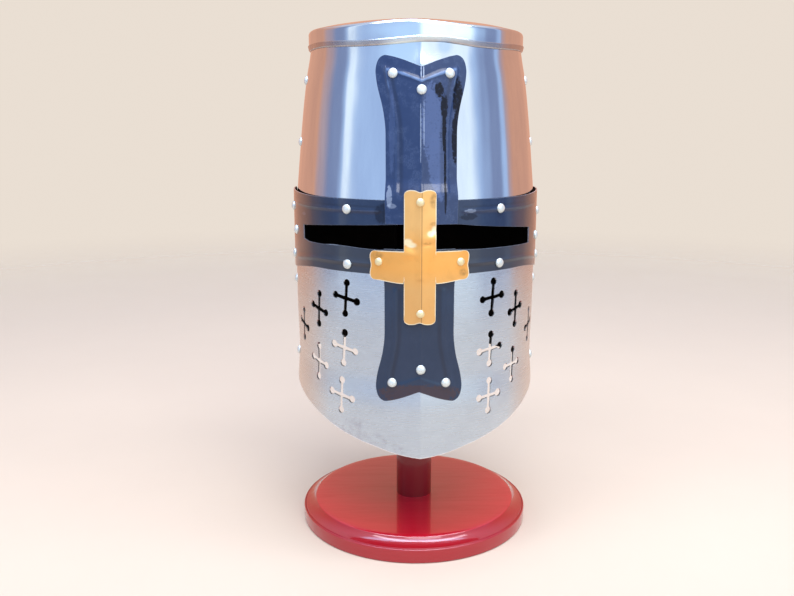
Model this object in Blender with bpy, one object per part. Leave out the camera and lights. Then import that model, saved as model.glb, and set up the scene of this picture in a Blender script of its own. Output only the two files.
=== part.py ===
# Great helm of the crusader pattern on a turned wooden display stand.
# Metres, +Z up. The face looks along -Y. The origin is the centre of the stand's underside.
import bpy
import bmesh
from math import asin, cos, pi, radians, sin
from mathutils import Vector

# Stand
FOOT_RADIUS = 0.108
FOOT_THICKNESS = 0.0197
FOOT_STEP_HEIGHT = 0.0125
FOOT_STEP_DEPTH = 0.0015
COLUMN_RADIUS = 0.017
HEAD_RADIUS = 0.036
HEAD_THICKNESS = 0.016
HEAD_NECK_SHARE = 0.8
HEAD_CHAMFER = 0.003
FOOT_EDGE = 0.001

# Helm as a whole
CHIN_ABOVE_FOOT = 0.0803
HELM_HEIGHT = 0.355
BROW_RADIUS = 0.1096
SHEET = 0.0012
GAP = 0.0003
BACK_DEPTH_SHARE = 1.08
KEEL_DEPTH = 0.004
KEEL_ANGLE = radians(32)
KEEL_CURVE = 1.4

# Crown cap
DOME_RISE = 0.0087
DOME_CURVE = 3.0
FLANGE_DEPTH = 0.017
CAP_CORNER = 0.0035
LIP_ROLL = 0.0006
LIP_TUCK_SHARE = 0.3
LIP_HEIGHT = 0.004
LIP_ARCH = 0.0022
LIP_ARCH_ANGLE = radians(24)

# Lower rim
SIDE_RIM_RISE = 0.044
CHIN_POINT = 0.004
CHIN_POINT_ANGLE = radians(20)
RIM_CURVE = 1.65
NECK_RIM_RISE = 0.050
NECK_RIM_TILT = 0.0075

# Laps between the front and back plates
SEAM_ANGLE = radians(92)
SEAM_LAP_ANGLE = radians(9)
BACK_SEAM_RISE = 0.016
BACK_LAP = 0.022
BACK_JOGGLE = 0.004

# Eye slit and band
SLIT_SHARE = 0.5014
SLIT_HEIGHT = 0.020
SLIT_END_HEIGHT = 0.0125
SLIT_ANGLE = radians(62.5)
SLIT_CURVE = 1.5
SLIT_EDGE_BACK = 0.002
BAND_ABOVE_SLIT = 0.019
BAND_BELOW_SLIT = 0.0215
BAND_FLARE = 0.0095
BAND_TOP_FLARE = 0.0025
BAND_FLARE_START = radians(48)
BAND_LOBE_ANGLE = radians(97)
BAND_NOTCH_ANGLE = radians(5)

# Upright bars of the overlay cross
BAR_HALF_WIDTH = 0.0280
BAR_STEP_START = 4.0
BAR_STEP_RUN = 3.0
UPPER_FLARE = 0.0085
UPPER_FLARE_HEIGHT = 0.062
UPPER_BAR_CLEAR = 0.008
LOWER_FLARE = 0.0080
LOWER_FLARE_HEIGHT = 0.060
LOWER_BAR_END = 0.0495
LOWER_BAR_SHIFT = -0.0013
LOBE_RISE = 0.0092
LOBE_CORNER = 0.0065
LOBE_SHARE = 0.76
LOBE_TIP_SHARE = 0.90
LOBE_BEND = 0.6
BAR_NEAR_SHARE = 0.45
FLARE_ROWS = (1.0, 0.72, 0.45)

# Raised border lines
BEAD_INSET = 0.0085
BEAD_WIDTH = 0.0030
BEAD_RISE = 0.0007

# Brass nasal cross
NASAL_ABOVE_SLIT = 0.0275
NASAL_BELOW_SLIT = 0.0615
NASAL_ARM_DROP = 0.0015
NASAL_ARM_HEIGHT = 0.0235
NASAL_HALF_SPAN = 0.0417
NASAL_HALF_WIDTH = 0.0128
NASAL_SHIFT = -0.0013
NASAL_CORNER = 0.0035
NASAL_CORNER_SHARE = 0.5
NASAL_CREASE = 0.0008

# Breaths
BREATH_ARM = 0.0132
BREATH_SIDE_ARM = 0.0103
BREATH_BAR_WIDTH = 0.0030
BREATH_HOLE_RADIUS = 0.0032
BREATH_HOLE_SIDES = 8
BREATH_CUT_DEPTH = 0.008

# Rivets
RIVET_RADIUS = 0.0040
RIVET_RISE = 0.0022
BRASS_RIVET_RADIUS = 0.0034
RIVET_SIDES = 8
LOBE_RIVET_SHARE = 0.6
UPPER_RIVET_INSET = 0.0142
UPPER_MIDDLE_INSET = 0.0270
LOWER_RIVET_INSET = 0.0163
LOWER_MIDDLE_INSET = 0.0284
BAND_RIVET_LEFT = radians(-32.6)
BAND_RIVET_RIGHT = radians(36.5)
BAND_LOWER_RIVET_INSET = 0.0065
END_RIVET_ANGLE = radians(81)
END_MIDDLE_RIVET_ANGLE = radians(74)
END_TOP_RIVET_INSET = 0.0145
END_BOTTOM_RIVET_INSET = 0.012
END_TOP_RIGHT_DROP = 0.0048
END_MIDDLE_RIGHT_DROP = 0.0054
END_BOTTOM_RIGHT_DROP = 0.0020
SEAM_RIVET_ANGLE = radians(84.5)
BACK_RIVET_ANGLE = radians(48)
NASAL_RIVET_INSET = 0.0095
NASAL_ARM_RIVET_INSET = 0.0078
NASAL_ARM_RIVET_DROP = 0.009

# Facets
FRONT_STEPS = 24
ROW_SPACING = 0.004
BAND_STEPS = 20
BAND_END_STEPS = 5
BEAD_END_STEPS = 4
CAP_STEPS = 40
FOOT_STEPS = 48
COLUMN_STEPS = 20

# The wall: share of the helm's height, share of the brow radius, share of the keel
WALL_TABLE = (
    (0.000, 1.013, 1.00),
    (0.110, 1.010, 1.00),
    (0.205, 0.992, 1.00),
    (0.358, 1.000, 1.00),
    (0.493, 1.000, 1.00),
    (0.555, 0.994, 1.00),
    (0.617, 0.980, 1.00),
    (0.662, 0.967, 1.00),
    (0.820, 0.916, 1.00),
    (0.888, 0.887, 0.90),
    (0.950, 0.852, 0.70),
    (1.000, 0.836, 0.50),
)

# The foot's hollow shoulder, from its step up to its top: radius, height
FOOT_COVE = (
    (0.1020, 0.0147),
    (0.0986, 0.0169),
    (0.0960, FOOT_THICKNESS),
)

# The dome's rings, as shares of its flat radius
DOME_SHARES = (0.0, 0.3, 0.5, 0.7, 0.86)

# A rivet's head: share of its radius, share of its rise
RIVET_PROFILE = (
    (1.00, 0.00),
    (0.93, 0.45),
    (0.55, 0.90),
)

# Breaths: height as a share of the slit's height above the chin, angle left, angle right,
# tilt of the level arms left, tilt right
BREATH_TABLE = (
    (0.750, -34.4, 34.0, -9.8, 6.3),
    (0.507, -35.9, 33.6, -10.3, 7.3),
    (0.271, -37.2, 32.8, -9.3, 5.3),
    (0.675, -51.6, 50.2, -16.0, 14.4),
    (0.402, -52.8, 49.0, -12.5, 4.0),
    (0.563, -67.5, 67.0, -18.0, 15.0),
)

# Side seam rivets in the skull: row, share of the way from the band up to the cap's flange
SKULL_RIVETS = (
    ("skull_high", 0.803),
    ("skull_low", 0.362),
)

# Side seam rivets in the face: row, share of the slit's height above the chin left, share right
FACE_RIVETS = (
    ("face_high", 0.768, 0.768),
    ("face_low", 0.384, 0.351),
)

CHIN = FOOT_THICKNESS + CHIN_ABOVE_FOOT
CROWN = CHIN + HELM_HEIGHT
SLIT_LOW = HELM_HEIGHT * SLIT_SHARE
SLIT_BOTTOM = CHIN + SLIT_LOW
SLIT_TOP = SLIT_BOTTOM + SLIT_HEIGHT
BAND_TOP = SLIT_TOP + BAND_ABOVE_SLIT
BAND_BOTTOM = SLIT_BOTTOM - BAND_BELOW_SLIT
BACK_SEAM = BAND_BOTTOM + BACK_SEAM_RISE
FLANGE_BOTTOM = CROWN - FLANGE_DEPTH
UPPER_TIP = FLANGE_BOTTOM - UPPER_BAR_CLEAR
LOWER_TIP = CHIN + LOWER_BAR_END
STEP = SHEET + GAP
NASAL_RADIUS = BROW_RADIUS + 3.0 * STEP + KEEL_DEPTH / 2.0


def clear_scene():
    for item in list(bpy.data.objects):
        bpy.data.objects.remove(item, do_unlink=True)


def make_material(name, colour, roughness, metallic):
    material = bpy.data.materials.new(name)
    material.use_nodes = True
    shader = material.node_tree.nodes["Principled BSDF"]
    shader.inputs["Base Color"].default_value = (*colour, 1.0)
    shader.inputs["Roughness"].default_value = roughness
    shader.inputs["Metallic"].default_value = metallic
    material.diffuse_color = (*colour, 1.0)
    return material


def smooth(share):
    share = min(max(share, 0.0), 1.0)
    return share * share * (3.0 - 2.0 * share)


def table_value(height, column):
    share = (height - CHIN) / HELM_HEIGHT
    rows = WALL_TABLE
    if share <= rows[0][0]:
        return rows[0][column]
    for low, high in zip(rows, rows[1:]):
        if share <= high[0]:
            part = (share - low[0]) / (high[0] - low[0])
            return low[column] + (high[column] - low[column]) * part
    return rows[-1][column]


def keel_at(angle, height):
    fade = max(0.0, 1.0 - abs(angle) / KEEL_ANGLE)
    return KEEL_DEPTH * fade ** KEEL_CURVE * table_value(height, 2)


def wall_radius(height):
    return BROW_RADIUS * table_value(height, 1)


def plan_point(radius, angle, height):
    """A point of the helm's plan: a half circle in front, a slightly deeper half oval behind."""
    depth = -radius * cos(angle)
    if depth > 0.0:
        depth *= BACK_DEPTH_SHARE
    return Vector((radius * sin(angle), depth, height))


def wall_point(angle, height, offset=0.0):
    return plan_point(wall_radius(height) + keel_at(angle, height) + offset, angle, height)


def band_offset(height):
    # The band is upright: it clears the wall where the skull tapers away from it
    return BROW_RADIUS + STEP - wall_radius(height)


def bar_offset(height):
    # A bar lies on the skull, steps up over the band and lies on it
    over_band = band_offset(height) + STEP
    start = BAR_STEP_START * STEP
    run = BAR_STEP_RUN * STEP
    above = smooth((BAND_TOP + start - height) / run)
    below = smooth((height - BAND_BOTTOM + start) / run)
    return STEP + (over_band - STEP) * min(above, below)


def add_object(name, mesh, material):
    item = bpy.data.objects.new(name, mesh)
    mesh.materials.append(material)
    bpy.context.scene.collection.objects.link(item)
    return item


def finish_mesh(bm, name, material, sharp=radians(35)):
    bmesh.ops.recalc_face_normals(bm, faces=bm.faces)
    mesh = bpy.data.meshes.new(name)
    bm.to_mesh(mesh)
    bm.free()
    mesh.shade_smooth()
    mesh.set_sharp_from_angle(angle=sharp)
    return add_object(name, mesh, material)


def sheet_solid(name, outer, inner, material, keep=None):
    """Closes two matching grids of points into one sheet with walls at every open edge."""
    rows = len(outer)
    columns = len(outer[0])
    kept = {
        (i, j)
        for i in range(rows - 1)
        for j in range(columns - 1)
        if keep is None or keep(i, j)
    }
    bm = bmesh.new()
    made = {}

    def vertex(side, i, j):
        key = (side, i, j)
        if key not in made:
            made[key] = bm.verts.new((outer, inner)[side][i][j])
        return made[key]

    for i, j in sorted(kept):
        corners = ((i, j), (i, j + 1), (i + 1, j + 1), (i + 1, j))
        bm.faces.new([vertex(0, *corner) for corner in corners])
        bm.faces.new([vertex(1, *corner) for corner in reversed(corners)])
        neighbours = ((i - 1, j), (i, j + 1), (i + 1, j), (i, j - 1))
        for side, neighbour in enumerate(neighbours):
            if neighbour in kept:
                continue
            a = corners[side]
            b = corners[(side + 1) % 4]
            bm.faces.new((vertex(0, *b), vertex(0, *a), vertex(1, *a), vertex(1, *b)))
    return finish_mesh(bm, name, material)


def wall_sheet(name, grid, offset, material, keep=None, rise=None):
    """A sheet on the wall: grid holds rows of (angle, height), offset gives the outer face."""
    outer = []
    inner = []
    for i, row in enumerate(grid):
        outer_row = []
        inner_row = []
        for j, (angle, height) in enumerate(row):
            base = offset(angle, height)
            extra = rise(i, j) if rise else 0.0
            outer_row.append(wall_point(angle, height, base + extra))
            inner_row.append(wall_point(angle, height, base - SHEET + extra))
        outer.append(outer_row)
        inner.append(inner_row)
    return sheet_solid(name, outer, inner, material, keep)


def spread(first, last, count):
    return [first + (last - first) * k / (count - 1) for k in range(count)]


def lower_rim(angle):
    side = CHIN + SIDE_RIM_RISE
    curve = max(0.0, cos(angle)) ** RIM_CURVE
    point = CHIN_POINT * max(0.0, 1.0 - abs(angle) / CHIN_POINT_ANGLE)
    return side - (SIDE_RIM_RISE - CHIN_POINT) * curve - point


def slit_top_at(angle):
    droop = min(abs(angle) / SLIT_ANGLE, 1.0) ** SLIT_CURVE
    return SLIT_TOP - (SLIT_HEIGHT - SLIT_END_HEIGHT) * droop


def cap_profile(angle):
    """Outer (radius, height) points of the cap at one angle, centre to lip."""
    keel = keel_at(angle, FLANGE_BOTTOM)
    edge = wall_radius(FLANGE_BOTTOM) + STEP + keel
    arch = LIP_ARCH * max(0.0, 1.0 - abs(angle) / LIP_ARCH_ANGLE)
    lip = FLANGE_BOTTOM + arch
    corner = CAP_CORNER
    points = []
    for share in DOME_SHARES:
        radius = (edge - corner) * share
        points.append((radius, CROWN + DOME_RISE * (1.0 - share ** DOME_CURVE)))
    for step in range(4):
        turn = step * pi / 6.0
        points.append((edge - corner + corner * sin(turn), CROWN - corner + corner * cos(turn)))
    points.append((edge, lip + LIP_HEIGHT))
    points.append((edge + LIP_ROLL, lip + LIP_HEIGHT * 0.5))
    points.append((edge + LIP_ROLL * LIP_TUCK_SHARE, lip))
    return points


def bends_between(low, top):
    """Shares of the way from low to top at which the wall bends."""
    heights = [CHIN + HELM_HEIGHT * row[0] for row in WALL_TABLE]
    margin = (top - low) * 0.04
    return [(height - low) / (top - low) for height in heights if low + margin < height < top - margin]


def signed_angle(angle):
    return (angle + pi) % (2.0 * pi) - pi


def inset_profile(points, thickness):
    """Moves each point of a profile inward, square to the line through its neighbours."""
    inset = []
    for k, (radius, height) in enumerate(points):
        before = points[max(k - 1, 0)]
        after = points[min(k + 1, len(points) - 1)]
        along = Vector((after[0] - before[0], after[1] - before[1])).normalized()
        if k == 0:
            along = Vector((1.0, 0.0))
        inset.append((radius + along.y * thickness, height - along.x * thickness))
    return inset


def crown_cap(material):
    bm = bmesh.new()
    rows = []
    centre = None
    for step in range(CAP_STEPS):
        angle = signed_angle(2.0 * pi * step / CAP_STEPS)
        outer = cap_profile(angle)
        ring = outer + list(reversed(inset_profile(outer, SHEET)))
        if centre is None:
            centre = [bm.verts.new((0.0, 0.0, ring[0][1])), bm.verts.new((0.0, 0.0, ring[-1][1]))]
        row = [centre[0]]
        for radius, height in ring[1:-1]:
            row.append(bm.verts.new(plan_point(radius, angle, height)))
        rows.append(row + [centre[1]])
    for step, row in enumerate(rows):
        after = rows[(step + 1) % CAP_STEPS]
        for k in range(len(row) - 1):
            corners = (row[k], after[k], after[k + 1], row[k + 1])
            bm.faces.new(list(dict.fromkeys(corners)))
    return finish_mesh(bm, "crown_cap", material)


def skull_front(material):
    angles = spread(-SEAM_ANGLE, SEAM_ANGLE, FRONT_STEPS + 1)
    top = CROWN - CAP_CORNER - STEP
    shares = [0.0] + bends_between(SLIT_TOP + SLIT_EDGE_BACK, top) + [1.0]
    grid = []
    for share in shares:
        row = []
        for angle in angles:
            low = slit_top_at(angle) + SLIT_EDGE_BACK
            row.append((angle, low + (top - low) * share))
        grid.append(row)
    return wall_sheet("skull_front", grid, lambda angle, height: 0.0, material)


def back_angles(count):
    start = SEAM_ANGLE - SEAM_LAP_ANGLE
    return spread(start, 2.0 * pi - start, count)


def skull_back_offset(angle, height):
    # The back skull plate steps in once more to pass inside the neck plate
    return -STEP - STEP * smooth((SLIT_TOP - height) / BACK_JOGGLE)


def skull_back(material):
    low = BACK_SEAM - BACK_LAP * 0.5
    joint = SLIT_TOP
    top = CROWN - CAP_CORNER - STEP
    heights = [low, joint - BACK_JOGGLE, joint]
    heights += [joint + (top - joint) * share for share in bends_between(joint, top) + [1.0]]
    grid = [[(angle, height) for angle in back_angles(FRONT_STEPS + 1)] for height in heights]
    return wall_sheet("skull_back", grid, skull_back_offset, material)


def breath_cutter():
    """One wire-shown cutter: a round-ended cross prism for each breath."""
    bm = bmesh.new()
    half = BREATH_BAR_WIDTH / 2.0
    start = asin(half / BREATH_HOLE_RADIUS)
    for share, left, right, left_tilt, right_tilt in BREATH_TABLE:
        for degrees, tilt in ((left, left_tilt), (right, right_tilt)):
            angle = radians(degrees)
            height = CHIN + SLIT_LOW * share
            centre = wall_point(angle, height)
            across = Vector((cos(angle), sin(angle), 0.0))
            out = Vector((sin(angle), -cos(angle), 0.0))
            outline = []
            for quarter in range(4):
                level = quarter % 2 == 0
                arm = BREATH_SIDE_ARM if level else BREATH_ARM
                turn = quarter * pi / 2.0 + (radians(tilt) if level else 0.0)
                along = Vector((cos(turn), sin(turn)))
                side = Vector((-sin(turn), cos(turn)))
                outline.append(along * half - side * half)
                for k in range(BREATH_HOLE_SIDES - 1):
                    sweep = start - pi + 2.0 * (pi - start) * k / (BREATH_HOLE_SIDES - 2)
                    point = along * (arm + BREATH_HOLE_RADIUS * cos(sweep))
                    outline.append(point + side * BREATH_HOLE_RADIUS * sin(sweep))
            rings = []
            for depth in (-BREATH_CUT_DEPTH, BREATH_CUT_DEPTH):
                ring = []
                for point in outline:
                    place = centre + across * point.x + out * depth
                    place.z += point.y
                    ring.append(bm.verts.new(place))
                rings.append(ring)
            bm.faces.new(rings[0])
            bm.faces.new(list(reversed(rings[1])))
            count = len(outline)
            for k in range(count):
                after = (k + 1) % count
                bm.faces.new((rings[0][k], rings[1][k], rings[1][after], rings[0][after]))
    bmesh.ops.recalc_face_normals(bm, faces=bm.faces)
    mesh = bpy.data.meshes.new("breath_cutter")
    bm.to_mesh(mesh)
    bm.free()
    cutter = bpy.data.objects.new("breath_cutter", mesh)
    bpy.context.scene.collection.objects.link(cutter)
    cutter.hide_render = True
    cutter.display_type = "WIRE"
    return cutter


def face_plate(material):
    angles = spread(-SEAM_ANGLE, SEAM_ANGLE, FRONT_STEPS + 1)
    top = SLIT_BOTTOM - SLIT_EDGE_BACK
    shares = [0.0] + bends_between(CHIN, top) + [1.0]
    grid = []
    for share in shares:
        row = []
        for angle in angles:
            low = lower_rim(angle)
            row.append((angle, low + (top - low) * share))
        grid.append(row)
    plate = wall_sheet("face_plate", grid, lambda angle, height: 0.0, material)
    cut = plate.modifiers.new("breaths", "BOOLEAN")
    cut.operation = "DIFFERENCE"
    cut.solver = "EXACT"
    cut.object = breath_cutter()
    return plate


def neck_plate(material):
    low = CHIN + NECK_RIM_RISE
    top = BACK_SEAM + BACK_LAP * 0.5
    heights = [low + (top - low) * share for share in [0.0] + bends_between(low, top) + [1.0]]

    def tilted(angle, height):
        # The rim is a little higher on the left
        return height + NECK_RIM_TILT * max(0.0, -sin(angle)) if height == low else height

    grid = [[(angle, tilted(angle, height)) for angle in back_angles(FRONT_STEPS + 1)] for height in heights]
    return wall_sheet("neck_plate", grid, lambda angle, height: -STEP, material)


def band_edge(angle, level):
    """Height of the band's top (level 1) or bottom (level -1) edge."""
    share = (abs(angle) - BAND_FLARE_START) / (BAND_LOBE_ANGLE - BAND_FLARE_START)
    if level > 0:
        return BAND_TOP + BAND_TOP_FLARE * smooth(share)
    return BAND_BOTTOM - BAND_FLARE * smooth(share)


def eye_band(material):
    # Row, share of the way from the end's notch to its lobes
    rows = (
        ("bottom", 0.65),
        ("bead low", 1.00),
        ("bead", 0.90),
        ("bead high", 0.75),
        ("slit bottom", 0.25),
        ("slit top", 0.25),
        ("bead low", 0.75),
        ("bead", 0.90),
        ("bead high", 1.00),
        ("top", 0.65),
    )
    slit_row = 4
    bead_steps = {"bead low": -0.5, "bead": 0.0, "bead high": 0.5}
    slit_angles = spread(-SLIT_ANGLE, SLIT_ANGLE, BAND_STEPS + 1)
    end_shares = [k / BAND_END_STEPS for k in range(BAND_END_STEPS)]
    grid = []
    for i, (kind, lobe) in enumerate(rows):
        end = BAND_LOBE_ANGLE - BAND_NOTCH_ANGLE * (1.0 - lobe)
        angles = [-end + (end - SLIT_ANGLE) * share for share in end_shares]
        angles += slit_angles
        angles += [end - (end - SLIT_ANGLE) * share for share in reversed(end_shares)]
        row = []
        for angle in angles:
            top = band_edge(angle, 1)
            bottom = band_edge(angle, -1)
            if kind == "bottom":
                height = bottom
            elif kind == "top":
                height = top
            elif kind == "slit bottom":
                height = SLIT_BOTTOM
            elif kind == "slit top":
                height = slit_top_at(angle)
            elif i > slit_row:
                height = top - BEAD_INSET + BEAD_WIDTH * bead_steps[kind]
            else:
                height = bottom + BEAD_INSET + BEAD_WIDTH * bead_steps[kind]
            row.append((angle, height))
        grid.append(row)

    def keep(i, j):
        return not (i == slit_row and BAND_END_STEPS <= j < BAND_END_STEPS + BAND_STEPS)

    def rise(i, j):
        under_bar = abs(grid[i][j][0]) < (BAR_HALF_WIDTH + BEAD_WIDTH) / BROW_RADIUS
        at_end = j < BEAD_END_STEPS or j >= len(grid[0]) - BEAD_END_STEPS
        return BEAD_RISE if rows[i][0] == "bead" and not under_bar and not at_end else 0.0

    return wall_sheet("eye_band", grid, lambda angle, height: band_offset(height), material, keep, rise)


def bar_grid(foot, tip, flare, flare_height, direction, shift, extra_rows=()):
    """Rows of (angle, height) from the foot of a bar to its flared, notched tip."""
    length = abs(tip - foot)
    half_bead = BEAD_WIDTH / 2.0
    needed = [length] + [abs(tip - height) for height in extra_rows]
    needed += [BEAD_INSET + half_bead, BEAD_INSET, BEAD_INSET - half_bead, 0.0]
    bends = [abs(tip - (CHIN + HELM_HEIGHT * row[0])) for row in WALL_TABLE]
    wanted = [distance for distance in bends if BEAD_INSET < distance < length]
    wanted += [flare_height * share for share in FLARE_ROWS]
    for distance in wanted:
        if min(abs(distance - other) for other in needed) > ROW_SPACING:
            needed.append(distance)
    from_tip = sorted(needed, reverse=True)
    sides = ("edge", "bead out", "bead", "bead in", "near", "middle")
    grid = []
    for distance in from_tip:
        width = BAR_HALF_WIDTH + flare * smooth(1.0 - distance / flare_height)
        full = width
        if distance == 0.0:
            full = width * LOBE_TIP_SHARE
        bend = smooth(1.0 - (distance - BEAD_INSET) / (flare_height * LOBE_BEND))
        row = []
        for k in range(2 * len(sides) - 1):
            kind = sides[k] if k < len(sides) else sides[2 * len(sides) - 2 - k]
            sign = -1.0 if k < len(sides) - 1 else 1.0
            place = {
                "edge": full,
                "bead out": min(full, width - BEAD_INSET + half_bead),
                "bead": width - BEAD_INSET,
                "bead in": width - BEAD_INSET - half_bead,
                "near": (width - BEAD_INSET) * BAR_NEAR_SHARE,
                "middle": 0.0,
            }[kind]
            reach = min(place / (width * LOBE_SHARE), 1.0)
            past = max(0.0, place / width - LOBE_SHARE) / (1.0 - LOBE_SHARE)
            dip = LOBE_RISE * (1.0 - reach) + LOBE_CORNER * past * past
            height = tip - direction * (distance + dip * bend)
            angle = (sign * place + shift) / wall_radius(height) if place else 0.0
            row.append((angle, height))
        grid.append(row)
    return grid


def bar_rise(rows, first=0):
    """Raised border: up both sides from the first row given, and across under the notch."""
    crossing = rows - 3

    def rise(i, j):
        along = j in (2, 8) and first <= i <= crossing
        across = i == crossing and 2 <= j <= 8
        return BEAD_RISE if along or across else 0.0

    return rise


def upper_bar(material):
    step_rows = (BAND_TOP + STEP, BAND_TOP + BAR_STEP_START * STEP)
    grid = bar_grid(SLIT_TOP, UPPER_TIP, UPPER_FLARE, UPPER_FLARE_HEIGHT, 1.0, 0.0, step_rows)
    rise = bar_rise(len(grid))
    return wall_sheet("upper_bar", grid, lambda angle, height: bar_offset(height), material, rise=rise)


def lower_bar(material):
    step_rows = (BAND_BOTTOM - STEP, BAND_BOTTOM - BAR_STEP_START * STEP)
    grid = bar_grid(SLIT_BOTTOM, LOWER_TIP, LOWER_FLARE, LOWER_FLARE_HEIGHT, -1.0, LOWER_BAR_SHIFT,
                    step_rows)
    rise = bar_rise(len(grid), len(step_rows))
    return wall_sheet("lower_bar", grid, lambda angle, height: bar_offset(height), material, rise=rise)


def nasal_offset(angle, height):
    across = abs(angle * NASAL_RADIUS)
    crease = NASAL_CREASE * max(0.0, 1.0 - across * 2.0 / NASAL_HALF_WIDTH)
    return band_offset(height) + 2.0 * STEP + crease


def nasal_cross(material):
    half = NASAL_HALF_WIDTH
    span = NASAL_HALF_SPAN
    corner = NASAL_CORNER
    cut = corner * NASAL_CORNER_SHARE
    arm_middle = (span + half) / 2.0
    right = (half - corner, half, half + corner, arm_middle, span - corner, span)
    columns = tuple(-place for place in reversed(right)) + (0.0,) + right
    top = SLIT_TOP + NASAL_ABOVE_SLIT
    bottom = SLIT_BOTTOM - NASAL_BELOW_SLIT
    arm_top = SLIT_BOTTOM - NASAL_ARM_DROP
    arm_bottom = arm_top - NASAL_ARM_HEIGHT
    rows = (bottom, bottom + corner, (bottom + arm_bottom) / 2.0, arm_bottom, arm_bottom + corner,
            arm_top - corner, arm_top, (arm_top + top) / 2.0, top - corner, top)
    grid = []
    for i, height in enumerate(rows):
        row = []
        for j, place in enumerate(columns):
            shifted = place
            level = height
            if i in (0, 9) and j in (4, 8):
                shifted = place * (1.0 - cut / half)
                level = height + cut * (1 if i == 0 else -1)
            if i in (3, 6) and j in (0, 12):
                shifted = place * (1.0 - cut / span)
                level = height + cut * (1 if i == 3 else -1)
            row.append(((shifted + NASAL_SHIFT) / NASAL_RADIUS if place else 0.0, level))
        grid.append(row)

    def keep(i, j):
        upright = 4 <= j <= 7
        arm = 3 <= i <= 5
        return upright or arm

    return wall_sheet("nasal_cross", grid, nasal_offset, material, keep)


def rivet(name, angle, height, offset, radius, material):
    """A domed head seated a gap above the face it holds."""
    rise = RIVET_RISE * radius / RIVET_RADIUS
    bm = bmesh.new()
    rings = []
    for share, lift in RIVET_PROFILE:
        ring = []
        for k in range(RIVET_SIDES):
            turn = 2.0 * pi * k / RIVET_SIDES
            ring.append(bm.verts.new((radius * share * cos(turn), radius * share * sin(turn), rise * lift)))
        rings.append(ring)
    bm.faces.new(list(reversed(rings[0])))
    for low, high in zip(rings, rings[1:]):
        for k in range(RIVET_SIDES):
            after = (k + 1) % RIVET_SIDES
            bm.faces.new((low[k], low[after], high[after], high[k]))
    tip = bm.verts.new((0.0, 0.0, rise))
    for k in range(RIVET_SIDES):
        bm.faces.new((rings[-1][k], rings[-1][(k + 1) % RIVET_SIDES], tip))
    head = finish_mesh(bm, name, material, radians(60))
    # The seat is a chord of the wall, so the head moves out by the chord's height
    delta = 0.001
    seat = wall_point(angle, height, offset)
    along = wall_point(angle + delta, height, offset) - wall_point(angle - delta, height, offset)
    up = wall_point(angle, height + delta, offset) - wall_point(angle, height - delta, offset)
    out = along.cross(up).normalized()
    head.rotation_mode = "QUATERNION"
    head.rotation_quaternion = out.to_track_quat("Z", "Y")
    head.location = seat + out * GAP
    return head


def bar_rivets(bar, tip, direction, flare, shift, inset, middle_inset, steel):
    """One rivet in each lobe of a bar's tip and one on the keel between them."""
    seat = STEP + BEAD_RISE / 2.0
    across = (BAR_HALF_WIDTH + flare) * LOBE_RIVET_SHARE
    height = tip - direction * inset
    for hand, sign in (("left", -1.0), ("right", 1.0)):
        angle = (sign * across + shift) / wall_radius(height)
        rivet(f"rivet_{bar}_{hand}", angle, height, seat, RIVET_RADIUS, steel)
    rivet(f"rivet_{bar}_middle", 0.0, tip - direction * middle_inset, seat, RIVET_RADIUS, steel)


def band_rivets(steel):
    """Two rivets each side of the face on the raised lines, and three in each flared end."""
    rows = (("upper", BAND_TOP - BEAD_INSET), ("lower", BAND_BOTTOM + BAND_LOWER_RIVET_INSET))
    for row, height in rows:
        seat = band_offset(height) + BEAD_RISE
        for hand, angle in (("left", BAND_RIVET_LEFT), ("right", BAND_RIVET_RIGHT)):
            rivet(f"rivet_band_{row}_{hand}", angle, height, seat, RIVET_RADIUS, steel)
    top = band_edge(END_RIVET_ANGLE, 1) - END_TOP_RIVET_INSET
    bottom = band_edge(END_RIVET_ANGLE, -1) + END_BOTTOM_RIVET_INSET
    ends = (
        ("top", END_RIVET_ANGLE, top, END_TOP_RIGHT_DROP),
        ("middle", END_MIDDLE_RIVET_ANGLE, SLIT_BOTTOM + SLIT_END_HEIGHT / 2.0, END_MIDDLE_RIGHT_DROP),
        ("bottom", END_RIVET_ANGLE, bottom, END_BOTTOM_RIGHT_DROP),
    )
    for row, angle, left_height, drop in ends:
        for hand, sign, height in (("left", -1.0, left_height), ("right", 1.0, left_height - drop)):
            rivet(f"rivet_end_{row}_{hand}", sign * angle, height, band_offset(height), RIVET_RADIUS, steel)


def seam_rivets(steel):
    """Rivets that close the side laps, and plain ones along the back lap."""
    rows = []
    for row, share in SKULL_RIVETS:
        height = BAND_TOP + (FLANGE_BOTTOM - BAND_TOP) * share
        rows.append((row, height, height))
    for row, left, right in FACE_RIVETS:
        rows.append((row, CHIN + SLIT_LOW * left, CHIN + SLIT_LOW * right))
    for row, left, right in rows:
        for hand, sign, height in (("left", -1.0, left), ("right", 1.0, right)):
            rivet(f"rivet_{row}_{hand}", sign * SEAM_RIVET_ANGLE, height, 0.0, RIVET_RADIUS, steel)
    for hand, turn in (("left", BACK_RIVET_ANGLE), ("middle", 0.0), ("right", -BACK_RIVET_ANGLE)):
        rivet(f"rivet_back_{hand}", pi + turn, BACK_SEAM, -STEP, RIVET_RADIUS, steel)


def brass_rivets(brass):
    arm = SLIT_BOTTOM - NASAL_ARM_DROP - NASAL_ARM_RIVET_DROP
    reach = NASAL_HALF_SPAN - NASAL_ARM_RIVET_INSET
    places = (
        ("top", 0.0, SLIT_TOP + NASAL_ABOVE_SLIT - NASAL_RIVET_INSET, NASAL_CREASE),
        ("bottom", 0.0, SLIT_BOTTOM - NASAL_BELOW_SLIT + NASAL_RIVET_INSET, NASAL_CREASE),
        ("left", NASAL_SHIFT - reach, arm, 0.0),
        ("right", NASAL_SHIFT + reach, arm, 0.0),
    )
    for row, across, height, lift in places:
        seat = band_offset(height) + 2.0 * STEP + lift
        rivet(f"rivet_brass_{row}", across / NASAL_RADIUS, height, seat, BRASS_RIVET_RADIUS, brass)


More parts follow.
